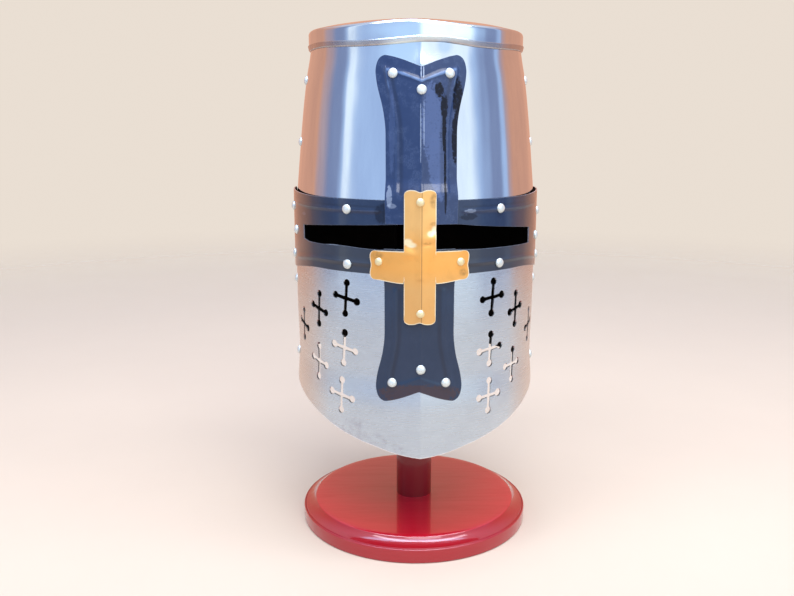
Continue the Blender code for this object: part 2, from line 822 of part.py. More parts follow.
def all_rivets(steel, brass):
    bar_rivets("upper", UPPER_TIP, 1.0, UPPER_FLARE, 0.0,
               UPPER_RIVET_INSET, UPPER_MIDDLE_INSET, steel)
    bar_rivets("lower", LOWER_TIP, -1.0, LOWER_FLARE, LOWER_BAR_SHIFT,
               LOWER_RIVET_INSET, LOWER_MIDDLE_INSET, steel)
    band_rivets(steel)
    seam_rivets(steel)
    brass_rivets(brass)


def turned(name, profile, steps, material):
    """Spins (radius, height) points about the stand's axis and closes the ends on it."""
    bm = bmesh.new()
    rings = []
    for radius, height in profile:
        ring = []
        for k in range(steps):
            turn = 2.0 * pi * k / steps
            ring.append(bm.verts.new((radius * cos(turn), radius * sin(turn), height)))
        rings.append(ring)
    bm.faces.new(list(reversed(rings[0])))
    bm.faces.new(rings[-1])
    for low, high in zip(rings, rings[1:]):
        for k in range(steps):
            after = (k + 1) % steps
            bm.faces.new((low[k], low[after], high[after], high[k]))
    return finish_mesh(bm, name, material)


def stand(material):
    foot = [(FOOT_RADIUS - FOOT_EDGE, 0.0), (FOOT_RADIUS, FOOT_EDGE), (FOOT_RADIUS, FOOT_STEP_HEIGHT),
            (FOOT_RADIUS - FOOT_STEP_DEPTH, FOOT_STEP_HEIGHT + FOOT_EDGE)]
    turned("stand_base", foot + list(FOOT_COVE), FOOT_STEPS, material)
    dome_share = HEAD_RADIUS / (wall_radius(FLANGE_BOTTOM) - CAP_CORNER)
    head_top = CROWN + DOME_RISE * (1.0 - dome_share ** DOME_CURVE) - SHEET - GAP
    head_bottom = head_top - HEAD_THICKNESS
    column = [(COLUMN_RADIUS, FOOT_THICKNESS), (COLUMN_RADIUS, head_bottom)]
    turned("stand_column", column, COLUMN_STEPS, material)
    head = [(HEAD_RADIUS * HEAD_NECK_SHARE, head_bottom), (HEAD_RADIUS, head_bottom + HEAD_CHAMFER),
            (HEAD_RADIUS, head_top - HEAD_CHAMFER), (HEAD_RADIUS - HEAD_CHAMFER, head_top)]
    turned("stand_head", head, COLUMN_STEPS, material)


def main():
    clear_scene()
    polished = make_material("polished_steel", (0.62, 0.65, 0.70), 0.16, 1.0)
    satin = make_material("satin_steel", (0.55, 0.58, 0.62), 0.38, 1.0)
    black = make_material("blue_black_paint", (0.030, 0.038, 0.070), 0.30, 0.0)
    brass = make_material("brass_sheet", (0.72, 0.45, 0.14), 0.32, 1.0)
    rivet_steel = make_material("rivet_steel", (0.74, 0.75, 0.74), 0.40, 1.0)
    lacquer = make_material("red_lacquer", (0.27, 0.010, 0.012), 0.18, 0.0)
    crown_cap(polished)
    skull_front(polished)
    skull_back(polished)
    face_plate(satin)
    neck_plate(satin)
    eye_band(black)
    upper_bar(black)
    lower_bar(black)
    nasal_cross(brass)
    all_rivets(rivet_steel, brass)
    stand(lacquer)


main()
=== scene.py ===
# Crusader great helm on a turned stand: the finish of every surface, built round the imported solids.
import random
from math import asin, atan2, ceil, cos, exp, pi, radians, sin, sqrt

import bmesh
import bpy
from mathutils import Matrix, Vector, noise


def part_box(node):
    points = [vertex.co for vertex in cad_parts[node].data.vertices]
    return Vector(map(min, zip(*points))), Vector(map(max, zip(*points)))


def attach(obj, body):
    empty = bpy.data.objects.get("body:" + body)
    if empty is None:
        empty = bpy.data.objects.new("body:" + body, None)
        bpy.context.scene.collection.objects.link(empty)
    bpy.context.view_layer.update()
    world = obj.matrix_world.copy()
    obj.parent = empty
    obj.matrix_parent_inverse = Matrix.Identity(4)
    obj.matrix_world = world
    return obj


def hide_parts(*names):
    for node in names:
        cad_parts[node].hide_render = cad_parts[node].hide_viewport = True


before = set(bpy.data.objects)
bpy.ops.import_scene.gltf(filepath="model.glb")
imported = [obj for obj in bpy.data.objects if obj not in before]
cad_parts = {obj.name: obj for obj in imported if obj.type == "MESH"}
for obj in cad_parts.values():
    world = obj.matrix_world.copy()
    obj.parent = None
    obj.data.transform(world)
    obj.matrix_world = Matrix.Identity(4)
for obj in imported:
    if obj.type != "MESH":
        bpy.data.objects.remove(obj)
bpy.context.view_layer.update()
print("frame loaded:", len(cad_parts), "nodes")

# The helm's own sizes, as in the solids (metres, angles in radians from the front)
helm = {
    "chin": 0.100,
    "height": 0.355,
    "brow": 0.1096,
    "sheet": 0.0012,
    "step": 0.0015,          # one sheet and the gap under it
    "backDepth": 1.08,
    "keelDepth": 0.004,
    "keelAngle": radians(32),
    "keelCurve": 1.4,
    "seamAngle": radians(92),
    "lapAngle": radians(9),
    "rollWave": 0.00016,     # upright waves left by the rolls
    "dentWave": 0.00007,     # shallow hammer dents
}
# share of the height, share of the brow radius, share of the keel
wallProfile = (
    (0.000, 1.013, 1.00),
    (0.110, 1.010, 1.00),
    (0.205, 0.992, 1.00),
    (0.358, 1.000, 1.00),
    (0.493, 1.000, 1.00),
    (0.555, 0.994, 1.00),
    (0.617, 0.980, 1.00),
    (0.662, 0.967, 1.00),
    (0.820, 0.916, 1.00),
    (0.888, 0.887, 0.90),
    (0.950, 0.852, 0.70),
    (1.000, 0.836, 0.50),
)
slit = {
    "bottom": 0.278,
    "height": 0.020,
    "endHeight": 0.0125,
    "leftEnd": radians(-63.2),
    "rightEnd": radians(60.6),
    "curve": 1.5,
    "plateBack": 0.002,      # how far the plates under the band stop short of it
}
helm["crown"] = helm["chin"] + helm["height"]
slit["top"] = slit["bottom"] + slit["height"]
# The cut wanders by hand: degrees from the front, mm at the lower edge, mm at the upper edge
slitWander = (
    (-63, 1.0, 0.6), (-57, -0.6, 0.6), (-48, -0.7, 0.5), (-40, 0.2, 0.4), (-20, -1.2, 0.0), (0, -1.5, 0.2),
    (15, -1.0, 0.4), (25, -1.8, -0.6), (40, -2.2, -1.3), (61, -3.0, -1.8),
)
bandTop = slit["top"] + 0.019
bandBottom = slit["bottom"] - 0.0215


def ease(share):
    share = min(max(share, 0.0), 1.0)
    return share * share * (3.0 - 2.0 * share)


def mixed(low, high, share):
    return low + (high - low) * share


def bell(distance, width):
    return exp(-(distance / width) ** 2)


def curveThrough(rows, x, column=1):
    # A smooth curve through table rows, flat beyond both ends
    if x <= rows[0][0]:
        return rows[0][column]
    if x >= rows[-1][0]:
        return rows[-1][column]
    k = max(i for i in range(len(rows) - 1) if rows[i][0] <= x)
    low, high = rows[k], rows[k + 1]
    run = high[0] - low[0]
    slope = (high[column] - low[column]) / run

    def tangent(before, at, after):
        if before is None or after is None:
            return slope
        first = (at[column] - before[column]) / (at[0] - before[0])
        second = (after[column] - at[column]) / (after[0] - at[0])
        if first * second <= 0.0:
            return 0.0
        return 2.0 * first * second / (first + second)

    startSlope = tangent(rows[k - 1] if k else None, low, high)
    endSlope = tangent(low, high, rows[k + 2] if k + 2 < len(rows) else None)
    t = (x - low[0]) / run
    return (low[column] * (1 + 2 * t) * (1 - t) ** 2 + startSlope * run * t * (1 - t) ** 2
            + high[column] * t * t * (3 - 2 * t) + endSlope * run * t * t * (t - 1))


def profileAt(height, column):
    return curveThrough(wallProfile, (height - helm["chin"]) / helm["height"], column)


def wallRadius(height):
    return helm["brow"] * profileAt(height, 1)


def keelAt(angle, height):
    fade = max(0.0, 1.0 - abs(angle) / helm["keelAngle"])
    return helm["keelDepth"] * fade ** helm["keelCurve"] * profileAt(height, 2)


def rollWaves(angle, height):
    upright = noise.noise(Vector((angle * 5.0, height * 1.6, 3.1)))
    upright += 0.5 * noise.noise(Vector((angle * 12.0, height * 2.4, 7.7)))
    dents = noise.noise(Vector((angle * 8.0, height * 38.0, 12.4)))
    return helm["rollWave"] * upright + helm["dentWave"] * dents


def planPoint(radius, angle, height):
    depth = -radius * cos(angle)
    if depth > 0.0:
        depth *= helm["backDepth"]
    return Vector((radius * sin(angle), depth, height))


def wallPoint(angle, height, offset):
    return planPoint(wallRadius(height) + keelAt(angle, height) + offset, angle, height)


def bandOffset(height):
    # The band is upright, so it stands clear where the skull tapers away
    return helm["brow"] + helm["step"] - wallRadius(height)


def barOffset(height):
    # A bar lies on the plates and climbs over the band
    step = helm["step"]
    overBand = bandOffset(min(height, bandTop)) + step
    above = ease((bandTop + 12.0 * step - height) / (11.5 * step))
    below = ease((height - bandBottom + 9.0 * step) / (8.5 * step))
    return step + (overBand - step) * min(above, below)


def slitTopAt(angle):
    droop = min(abs(angle) / slit["rightEnd"], 1.0) ** slit["curve"]
    wander = 0.001 * curveThrough(slitWander, angle * 180 / pi, 2)
    return slit["top"] - (slit["height"] - slit["endHeight"]) * droop + wander


def slitBottomAt(angle):
    return slit["bottom"] + 0.001 * curveThrough(slitWander, angle * 180 / pi, 1)


def closeEnds(count, tightness):
    # Shares from 0 to 1, closer together at both ends
    return [k / count - tightness * sin(2 * pi * k / count) / (2 * pi) for k in range(count + 1)]


class Tree:
    # A short hand for adding and joining nodes
    def __init__(self, tree):
        self.tree = tree
        self.column = 0

    def add(self, kind, **settings):
        node = self.tree.nodes.new(kind)
        node.location = (self.column * 190 - 1400, -140 * (self.column % 5))
        self.column += 1
        for name, value in settings.items():
            setattr(node, name, value)
        return node

    def join(self, source, target):
        self.tree.links.new(source, target)

    def feed(self, socket, value):
        if isinstance(value, bpy.types.NodeSocket):
            self.join(value, socket)
        else:
            socket.default_value = value

    def sum(self, operation, first, second=None, third=None, clamp=False):
        node = self.add("ShaderNodeMath", operation=operation, use_clamp=clamp)
        for socket, value in zip(node.inputs, (first, second, third)):
            if value is not None:
                self.feed(socket, value)
        return node.outputs[0]

    def remap(self, value, low, high, newLow=0.0, newHigh=1.0, smooth=False):
        node = self.add("ShaderNodeMapRange", clamp=True)
        node.interpolation_type = "SMOOTHSTEP" if smooth else "LINEAR"
        for name, item in (("Value", value), ("From Min", low), ("From Max", high),
                           ("To Min", newLow), ("To Max", newHigh)):
            self.feed(node.inputs[name], item)
        return node.outputs["Result"]

    def tint(self, share, first, second, blend="MIX"):
        node = self.add("ShaderNodeMix", data_type="RGBA", blend_type=blend)
        self.feed(node.inputs[0], share)
        self.feed(node.inputs[6], first)
        self.feed(node.inputs[7], second)
        return node.outputs[2]

    def over(self, colour, mask, amount, second):
        # Lays the second colour over the first where the mask is, by that amount
        return self.tint(self.sum("MULTIPLY", mask, amount), colour, second)

    def length(self, first, second):
        squares = [self.sum("MULTIPLY", value, value) for value in (first, second)]
        return self.sum("SQRT", self.sum("ADD", *squares))

    def stretch(self, vector, scale):
        node = self.add("ShaderNodeVectorMath", operation="MULTIPLY")
        self.feed(node.inputs[0], vector)
        self.feed(node.inputs[1], scale)
        return node.outputs[0]

    def cloud(self, vector, scale, detail=3.0, roughness=0.5, distortion=0.0):
        node = self.add("ShaderNodeTexNoise")
        self.feed(node.inputs["Vector"], vector)
        self.feed(node.inputs["Scale"], scale)
        node.inputs["Detail"].default_value = detail
        node.inputs["Roughness"].default_value = roughness
        node.inputs["Distortion"].default_value = distortion
        return node.outputs["Fac"]

    def place(self):
        return self.add("ShaderNodeTexCoord").outputs["Object"]

    def bump(self, height, strength, distance, normal=None):
        node = self.add("ShaderNodeBump")
        node.inputs["Strength"].default_value = strength
        node.inputs["Distance"].default_value = distance
        self.join(height, node.inputs["Height"])
        if normal is not None:
            self.join(normal, node.inputs["Normal"])
        return node.outputs["Normal"]

    def use(self, group, **values):
        node = self.add("ShaderNodeGroup")
        node.node_tree = group
        for name, value in values.items():
            self.feed(node.inputs[name], value)
        return node

    def mask(self, effect, **values):
        return self.use(effects[effect], **values).outputs["Mask"]

    def spot(self, x, z, wide, tall):
        return self.mask("spot", X=x, Z=z, Wide=wide, Tall=tall)


def axes(tree):
    split = tree.add("ShaderNodeSeparateXYZ")
    tree.join(tree.place(), split.inputs[0])
    return split.outputs


def newGroup(name, inputs, outputs):
    group = bpy.data.node_groups.new(name, "ShaderNodeTree")
    for label, value in inputs:
        socket = group.interface.new_socket(name=label, in_out="INPUT", socket_type="NodeSocketFloat")
        socket.default_value = value
    for label in outputs:
        group.interface.new_socket(name=label, in_out="OUTPUT", socket_type="NodeSocketFloat")
    tree = Tree(group)
    return group, tree, tree.add("NodeGroupInput").outputs, tree.add("NodeGroupOutput").inputs


def grainGroup():
    # Fine lines along Z with broader streaks among them
    group, tree, given, result = newGroup(
        "brushedGrain", (("Across", 900.0), ("Along", 12.0), ("Broad", 70.0)), ("Lines", "Streaks"))
    place = tree.place()
    for label, across, detail in (("Lines", given["Across"], 4.0), ("Streaks", given["Broad"], 3.0)):
        scale = tree.add("ShaderNodeCombineXYZ")
        tree.feed(scale.inputs[0], across)
        tree.feed(scale.inputs[1], across)
        tree.feed(scale.inputs[2], given["Along"])
        stretched = tree.stretch(place, scale.outputs[0])
        tree.join(tree.cloud(stretched, 1.0, detail, 0.6), result[label])
    return group


def stainGroup():
    # Soft-edged patches
    group, tree, given, result = newGroup(
        "stains", (("Size", 30.0), ("Start", 0.52), ("Full", 0.72)), ("Mask",))
    cloudy = tree.cloud(tree.place(), given["Size"], 5.0, 0.62, 0.6)
    tree.join(tree.remap(cloudy, given["Start"], given["Full"], smooth=True), result["Mask"])
    return group


def speckGroup():
    # Small pits and specks, sparser or denser by Amount
    group, tree, given, result = newGroup("specks", (("Size", 900.0), ("Amount", 0.18)), ("Mask",))
    cells = tree.add("ShaderNodeTexVoronoi")
    tree.join(tree.place(), cells.inputs["Vector"])
    tree.join(given["Size"], cells.inputs["Scale"])
    threshold = tree.sum("MULTIPLY", given["Amount"], 1.6)
    inside = tree.remap(cells.outputs["Distance"], 0.0, threshold, 1.0, 0.0)
    cloudy = tree.remap(tree.cloud(tree.place(), 160.0, 2.0), 0.48, 0.60)
    tree.join(tree.sum("MULTIPLY", inside, cloudy), result["Mask"])
    return group


def wearGroup():
    # Rubbed edges: the sheet's rim attribute broken up by noise
    group, tree, given, result = newGroup(
        "edgeWear", (("Reach", 0.35), ("Ragged", 0.5)), ("Mask",))
    rim = tree.add("ShaderNodeAttribute", attribute_name="rim")
    cloudy = tree.cloud(tree.place(), 260.0, 4.0, 0.65)
    broken = tree.sum("MULTIPLY", tree.sum("SUBTRACT", cloudy, 0.5), given["Ragged"])
    level = tree.sum("ADD", rim.outputs["Fac"], broken)
    start = tree.sum("SUBTRACT", 1.0, given["Reach"])
    tree.join(tree.remap(level, start, tree.sum("ADD", start, 0.18), smooth=True), result["Mask"])
    return group


def spotGroup():
    # A patch on the front about one point, fading to its edge
    group, tree, given, result = newGroup(
        "spot", (("X", 0.0), ("Z", 0.0), ("Wide", 0.02), ("Tall", 0.02)), ("Mask",))
    place = axes(tree)
    away = [tree.sum("DIVIDE", tree.sum("SUBTRACT", place[axis], given[axis]), given[reach])
            for axis, reach in (("X", "Wide"), ("Z", "Tall"))]
    mask = tree.remap(tree.length(*away), 0.35, 1.0, 1.0, 0.0, smooth=True)
    onFront = tree.remap(place["Y"], -0.01, 0.0, 1.0, 0.0)
    tree.join(tree.sum("MULTIPLY", mask, onFront), result["Mask"])
    return group


def ridgeGroup():
    # The raised lines: rubbed pale on top, partly a painted highlight, with a painted shade line beside them
    group, tree, given, result = newGroup("ridges", (("Ragged", 0.4),), ("Top", "PaintedShade"))
    ridge = tree.add("ShaderNodeAttribute", attribute_name="ridge").outputs["Fac"]
    cloudy = tree.sum("SUBTRACT", tree.cloud(tree.place(), 90.0, 3.0, 0.6), 0.5)
    level = tree.sum("ADD", ridge, tree.sum("MULTIPLY", cloudy, given["Ragged"]))
    tree.join(tree.remap(level, 0.45, 1.0, smooth=True), result["Top"])
    tree.join(tree.remap(ridge, -0.15, -0.85), result["PaintedShade"])
    return group


studio = {
    "backdrop": (0.82, 0.735, 0.65, 1),
    "overhead": (0.80, 0.92, 1.12, 1),
    "overheadFrom": radians(24),
    "overheadFull": radians(55),
    "zenith": (4.0, 6.4, 9.5, 1),
    "zenithFrom": radians(61),
    "zenithFull": radians(66),
}
effects = {
    "grain": grainGroup(),
    "stains": stainGroup(),
    "specks": speckGroup(),
    "wear": wearGroup(),
    "spot": spotGroup(),
    "ridges": ridgeGroup(),
}


def newMaterial(name, **constants):
    material = bpy.data.materials.new(name)
    material.use_nodes = True
    tree = Tree(material.node_tree)
    shader = material.node_tree.nodes["Principled BSDF"]
    for label, value in constants.items():
        shader.inputs[label.replace("_", " ")].default_value = value
    return material, tree, shader.inputs


def polishedSteel(name, metal, deep, gloss):
    look = {
        "metal": metal, "deep": deep, "stain": (0.42, 0.40, 0.40, 1), "blue": (0.30, 0.44, 0.66, 1),
        "highlightAndRubbed": (0.90, 0.98, 0.96, 1), "domeShade": (0.46, 0.40, 0.40, 1), "scratch": (0.86, 0.88, 0.92, 1),
        "gloss": gloss, "lineDepth": 0.05, "lineHeight": 0.00002,
    }
    material, tree, shader = newMaterial(name, Metallic=1.0)
    grain = tree.use(effects["grain"], Across=850.0, Along=9.0, Broad=60.0).outputs
    stains = tree.mask("stains", Size=24.0, Start=0.56, Full=0.80)
    specks = tree.mask("specks", Size=420.0, Amount=0.08)
    colour = tree.tint(tree.remap(grain["Streaks"], 0.35, 0.65), look["metal"], look["deep"])
    colour = tree.over(colour, stains, 0.20, look["stain"])
    colour = tree.over(colour, specks, 0.5, look["stain"])
    # Two faint blue heat stains beside the keel, under the crown
    for place in ((0.0185, 0.4370, 0.0085, 0.0085), (0.0225, 0.4520, 0.0042, 0.0080)):
        colour = tree.over(colour, tree.spot(*place), 0.45, look["blue"])
    # Painted highlights round the front of the crown, pale blue-white like the sky they stand for
    for place in ((0.0080, 0.4490, 0.0600, 0.0110), (-0.0140, 0.4320, 0.0240, 0.0200)):
        colour = tree.over(colour, tree.spot(*place), 0.8, look["highlightAndRubbed"])
    # The domed top is painted darker and greyer: painted shade for the dim reflection it shows
    domeShade = tree.remap(axes(tree)["Z"], 0.4568, 0.4585, 0.0, 0.75)
    colour = tree.tint(domeShade, colour, look["domeShade"])
    # Fine scratches, pressed along the plate
    colour = tree.over(colour, tree.remap(grain["Lines"], 0.66, 0.74), 0.25, look["scratch"])
    tree.join(colour, shader["Base Color"])
    rough = tree.remap(grain["Streaks"], 0.3, 0.7, *look["gloss"])
    rough = tree.sum("ADD", rough, tree.sum("MULTIPLY", stains, 0.10))
    tree.join(rough, shader["Roughness"])
    tree.join(tree.bump(grain["Lines"], look["lineDepth"], look["lineHeight"]), shader["Normal"])
    return material


def satinSteel():
    look = {
        "metal": (0.58, 0.655, 0.73, 1), "deep": (0.52, 0.59, 0.665, 1), "stain": (0.34, 0.33, 0.42, 1),
        "warm": (0.69, 0.55, 0.46, 1), "gloss": (0.25, 0.33), "lineDepth": 0.07, "lineHeight": 0.00004,
    }
    material, tree, shader = newMaterial("satinSteel", Metallic=1.0)
    grain = tree.use(effects["grain"], Across=900.0, Along=120.0, Broad=60.0).outputs
    cross = tree.use(effects["grain"], Across=60.0, Along=1500.0, Broad=30.0).outputs
    stains = tree.mask("stains", Size=30.0, Start=0.56, Full=0.84)
    specks = tree.mask("specks", Size=520.0, Amount=0.12)
    # A darker bruise low on the left of the face, along the rim
    cloudy = tree.remap(tree.cloud(tree.place(), 150.0, 5.0, 0.65), 0.46, 0.66)
    bruise = None
    for x, z, wide, tall in ((-0.058, 0.121, 0.016, 0.010), (-0.042, 0.112, 0.018, 0.008),
                             (-0.024, 0.106, 0.014, 0.006)):
        low = tree.spot(x, z, wide * 1.6, tall * 1.4)
        bruise = low if bruise is None else tree.sum("MAXIMUM", bruise, low)
    bruise = tree.sum("MULTIPLY", bruise, cloudy)
    # Darker in patches toward the top of the face, just under the band and the bar
    seam = tree.remap(axes(tree)["Z"], 0.2535, 0.2470, 1.0, 0.0)
    patchy = tree.remap(tree.cloud(tree.place(), 420.0, 4.0, 0.6), 0.44, 0.62)
    darkerUnderBand = tree.sum("MULTIPLY", seam, patchy)
    streak = tree.sum("MULTIPLY", tree.remap(grain["Streaks"], 0.35, 0.65), 0.5)
    colour = tree.tint(streak, look["metal"], look["deep"])
    colour = tree.over(colour, tree.remap(cross["Lines"], 0.4, 0.65), 0.15, look["deep"])
    # Painted warm reflection: the steel's colour turns warmer round the sides
    side = tree.remap(tree.sum("ABSOLUTE", axes(tree)["X"]), 0.078, 0.108)
    colour = tree.tint(side, colour, look["warm"])
    for mask, amount in ((stains, 0.14), (bruise, 0.40), (darkerUnderBand, 0.22), (specks, 0.45)):
        colour = tree.over(colour, mask, amount, look["stain"])
    wear = tree.mask("wear", Reach=0.22, Ragged=0.3)
    colour = tree.over(colour, wear, 0.8, (0.90, 0.86, 0.88, 1))
    tree.join(colour, shader["Base Color"])
    rough = tree.remap(cross["Streaks"], 0.3, 0.7, *look["gloss"])
    tree.join(tree.sum("ADD", rough, tree.sum("MULTIPLY", stains, 0.06)), shader["Roughness"])
    lines = tree.sum("ADD", grain["Lines"], cross["Lines"])
    tree.join(tree.bump(lines, look["lineDepth"], look["lineHeight"]), shader["Normal"])
    return material


def shadeBlackInside():
    # Near-black inner faces: painted shade standing in for the dark inside of the closed helm, far darker than
    # bare oxidised steel
    material, tree, shader = newMaterial("shadeBlackInside", Specular_IOR_Level=0.06)
    stains = tree.mask("stains", Size=40.0, Start=0.40, Full=0.75)
    tree.join(tree.tint(stains, (0.0015, 0.0015, 0.002, 1), (0.005, 0.004, 0.0035, 1)), shader["Base Color"])
    tree.join(tree.remap(stains, 0.0, 1.0, 0.62, 0.80), shader["Roughness"])
    tree.join(tree.bump(stains, 0.2, 0.0002), shader["Normal"])
    return material


def blueBlack(name, base, pale, spots, pitting):
    # spots: x, z, reach across, reach up, amount, colour name
    look = {
        "base": base, "pale": pale, "black": (0.002, 0.003, 0.010, 1), "paintedSheen": (0.052, 0.086, 0.200, 1),
        "worn": (0.42, 0.50, 0.64, 1), "paintedBrownReflection": (0.040, 0.024, 0.032, 1), "paintedWarmReflection": (0.19, 0.098, 0.066, 1),
        "grey": (0.034, 0.038, 0.046, 1), "pit": (0.15, 0.21, 0.36, 1), "highlightAndRubbed": (0.20, 0.32, 0.58, 1),
        "gloss": (0.35, 0.50),
    }
    material, tree, shader = newMaterial(
        name, Specular_IOR_Level=0.1, Coat_Weight=0.85, Coat_Roughness=0.10, Coat_IOR=1.5)
    grain = tree.use(effects["grain"], Across=500.0, Along=40.0, Broad=45.0).outputs
    stains = tree.mask("stains", Size=48.0, Start=0.46, Full=0.74)
    pits = tree.mask("specks", Size=1500.0, Amount=0.40)
    streak = tree.sum("MULTIPLY", tree.remap(grain["Streaks"], 0.35, 0.70), 0.35)
    colour = tree.tint(streak, look["base"], look["pale"])
    colour = tree.over(colour, stains, 0.20, look["pale"])
    colour = tree.over(colour, pits, 0.55 * pitting, look["pit"])
    ragged = tree.remap(tree.cloud(tree.place(), 420.0, 5.0, 0.7), 0.40, 0.60)
    cover = None
    for *place, amount, kind in spots:
        patch = tree.sum("MULTIPLY", tree.spot(*place), tree.sum("ADD", ragged, 0.35))
        patch = tree.remap(patch, 0.18, 0.42)
        patch = tree.sum("MULTIPLY", patch, amount)
        colour = tree.tint(patch, colour, look[kind])
        if kind == "black":
            cover = patch if cover is None else tree.sum("MAXIMUM", cover, patch)
    ridges = tree.use(effects["ridges"], Ragged=0.7).outputs
    # Painted shade: a dark line beside the raised lines
    colour = tree.over(colour, ridges["PaintedShade"], 0.35, look["black"])
    # The lines across the upper bar's tip are rubbed most and carry the strongest painted highlight
    place = axes(tree)
    highlightAndRubbed = tree.remap(place["Z"], 0.4020, 0.4060, 0.10, 0.55)
    colour = tree.over(colour, ridges["Top"], highlightAndRubbed, look["highlightAndRubbed"])
    # Greyer under the slit and toward the sides; the ends get a painted warm reflection
    across = tree.sum("ABSOLUTE", place["X"])
    low = tree.sum("MULTIPLY", tree.remap(place["Z"], 0.2560, 0.2565),
                   tree.remap(place["Z"], 0.2860, 0.2800))
    grey = tree.sum("MAXIMUM", tree.sum("MULTIPLY", low, 0.7),
                    tree.remap(across, 0.070, 0.095, 0.0, 0.8))
    colour = tree.tint(grey, colour, look["grey"])
    colour = tree.tint(tree.remap(across, 0.0900, 0.1075), colour, look["paintedWarmReflection"])
    wear = tree.mask("wear", Reach=0.14, Ragged=0.30)
    colour = tree.over(colour, wear, 0.25, look["worn"])
    tree.join(colour, shader["Base Color"])
    tree.join(tree.remap(grain["Streaks"], 0.3, 0.7, *look["gloss"]), shader["Roughness"])
    # The thick black patches have a weaker gloss coat
    if cover is not None:
        tree.join(tree.remap(cover, 0.0, 1.0, 0.85, 0.25), shader["Coat Weight"])
    peel = tree.cloud(tree.place(), 620.0, 3.0, 0.6)
    surface = tree.sum("ADD", tree.sum("MULTIPLY", peel, 0.30 + 0.9 * pitting), grain["Lines"])
    tree.join(tree.bump(surface, 0.20, 0.00009), shader["Normal"])
    return material


def brassSheet(name, metal, pale, patina):
    look = {
        "metal": metal, "pale": pale, "tarnishAndShade": (0.30, 0.16, 0.05, 1), "bright": (1.0, 0.93, 0.62, 1),
        "paintedSkyReflection": (0.86, 0.57, 0.24, 1), "chin": (0.62, 0.40, 0.18, 1), "fold": (0.26, 0.13, 0.05, 1),
        "rim": (1.0, 0.86, 0.60, 1),
        "gloss": (0.36, 0.46),
    }
    material, tree, shader = newMaterial(name, Metallic=0.65)
    grain = tree.use(effects["grain"], Across=420.0, Along=60.0, Broad=60.0).outputs
    stains = tree.mask("stains", Size=75.0, Start=0.52, Full=0.80)
    specks = tree.mask("specks", Size=900.0, Amount=0.14)
    streak = tree.sum("MULTIPLY", tree.remap(grain["Streaks"], 0.3, 0.7), 0.6)
    colour = tree.tint(streak, look["metal"], look["pale"])
    # Paler up the nose, a painted sky reflection; darker down the chin
    height = axes(tree)["Z"]
    for start, full, tone in ((0.275, 0.298, "paintedSkyReflection"), (0.262, 0.245, "chin")):
        colour = tree.tint(tree.remap(height, start, full, 0.0, 0.45 * patina), colour, look[tone])
    colour = tree.over(colour, stains, 0.16 * patina, look["tarnishAndShade"])
    colour = tree.over(colour, specks, 0.30 * patina, look["tarnishAndShade"])
    # Tarnish, painted shade and painted highlights from the spot table; the highlights are not broken up
    for *place, amount, kind in brassSpots:
        spot = tree.spot(*place)
        cloudy = 1.0 if kind == "bright" else tree.remap(tree.cloud(tree.place(), 300.0, 4.0), 0.20, 0.60)
        patch = tree.sum("MULTIPLY", tree.sum("MULTIPLY", spot, cloudy), amount * patina)
        colour = tree.tint(patch, colour, look[kind])
    # The fold is dark at its bottom
    fold = tree.sum("ABSOLUTE", axes(tree)["X"])
    line = tree.sum("MULTIPLY", tree.remap(fold, 0.00012, 0.00050, 1.0, 0.0), 0.75 * patina)
    colour = tree.tint(line, colour, look["fold"])
    wear = tree.mask("wear", Reach=0.45, Ragged=0.25)
    colour = tree.over(colour, wear, 0.9, look["rim"])
    tree.join(colour, shader["Base Color"])
    tree.join(tree.remap(grain["Streaks"], 0.3, 0.7, *look["gloss"]), shader["Roughness"])
    tree.join(tree.bump(grain["Lines"], 0.10, 0.00004), shader["Normal"])
    return material


def hammeredSteel():
    material, tree, shader = newMaterial("hammeredRivetSteel", Metallic=0.55)
    stains = tree.mask("stains", Size=420.0, Start=0.48, Full=0.78)
    specks = tree.mask("specks", Size=1500.0, Amount=0.25)
    colour = tree.tint(stains, (0.70, 0.74, 0.71, 1), (0.50, 0.53, 0.52, 1))
    colour = tree.over(colour, specks, 0.5, (0.35, 0.34, 0.33, 1))
    tree.join(colour, shader["Base Color"])
    tree.join(tree.remap(stains, 0.0, 1.0, 0.42, 0.58), shader["Roughness"])
    tree.join(tree.bump(tree.cloud(tree.place(), 700.0, 3.0), 0.35, 0.00018), shader["Normal"])
    return material


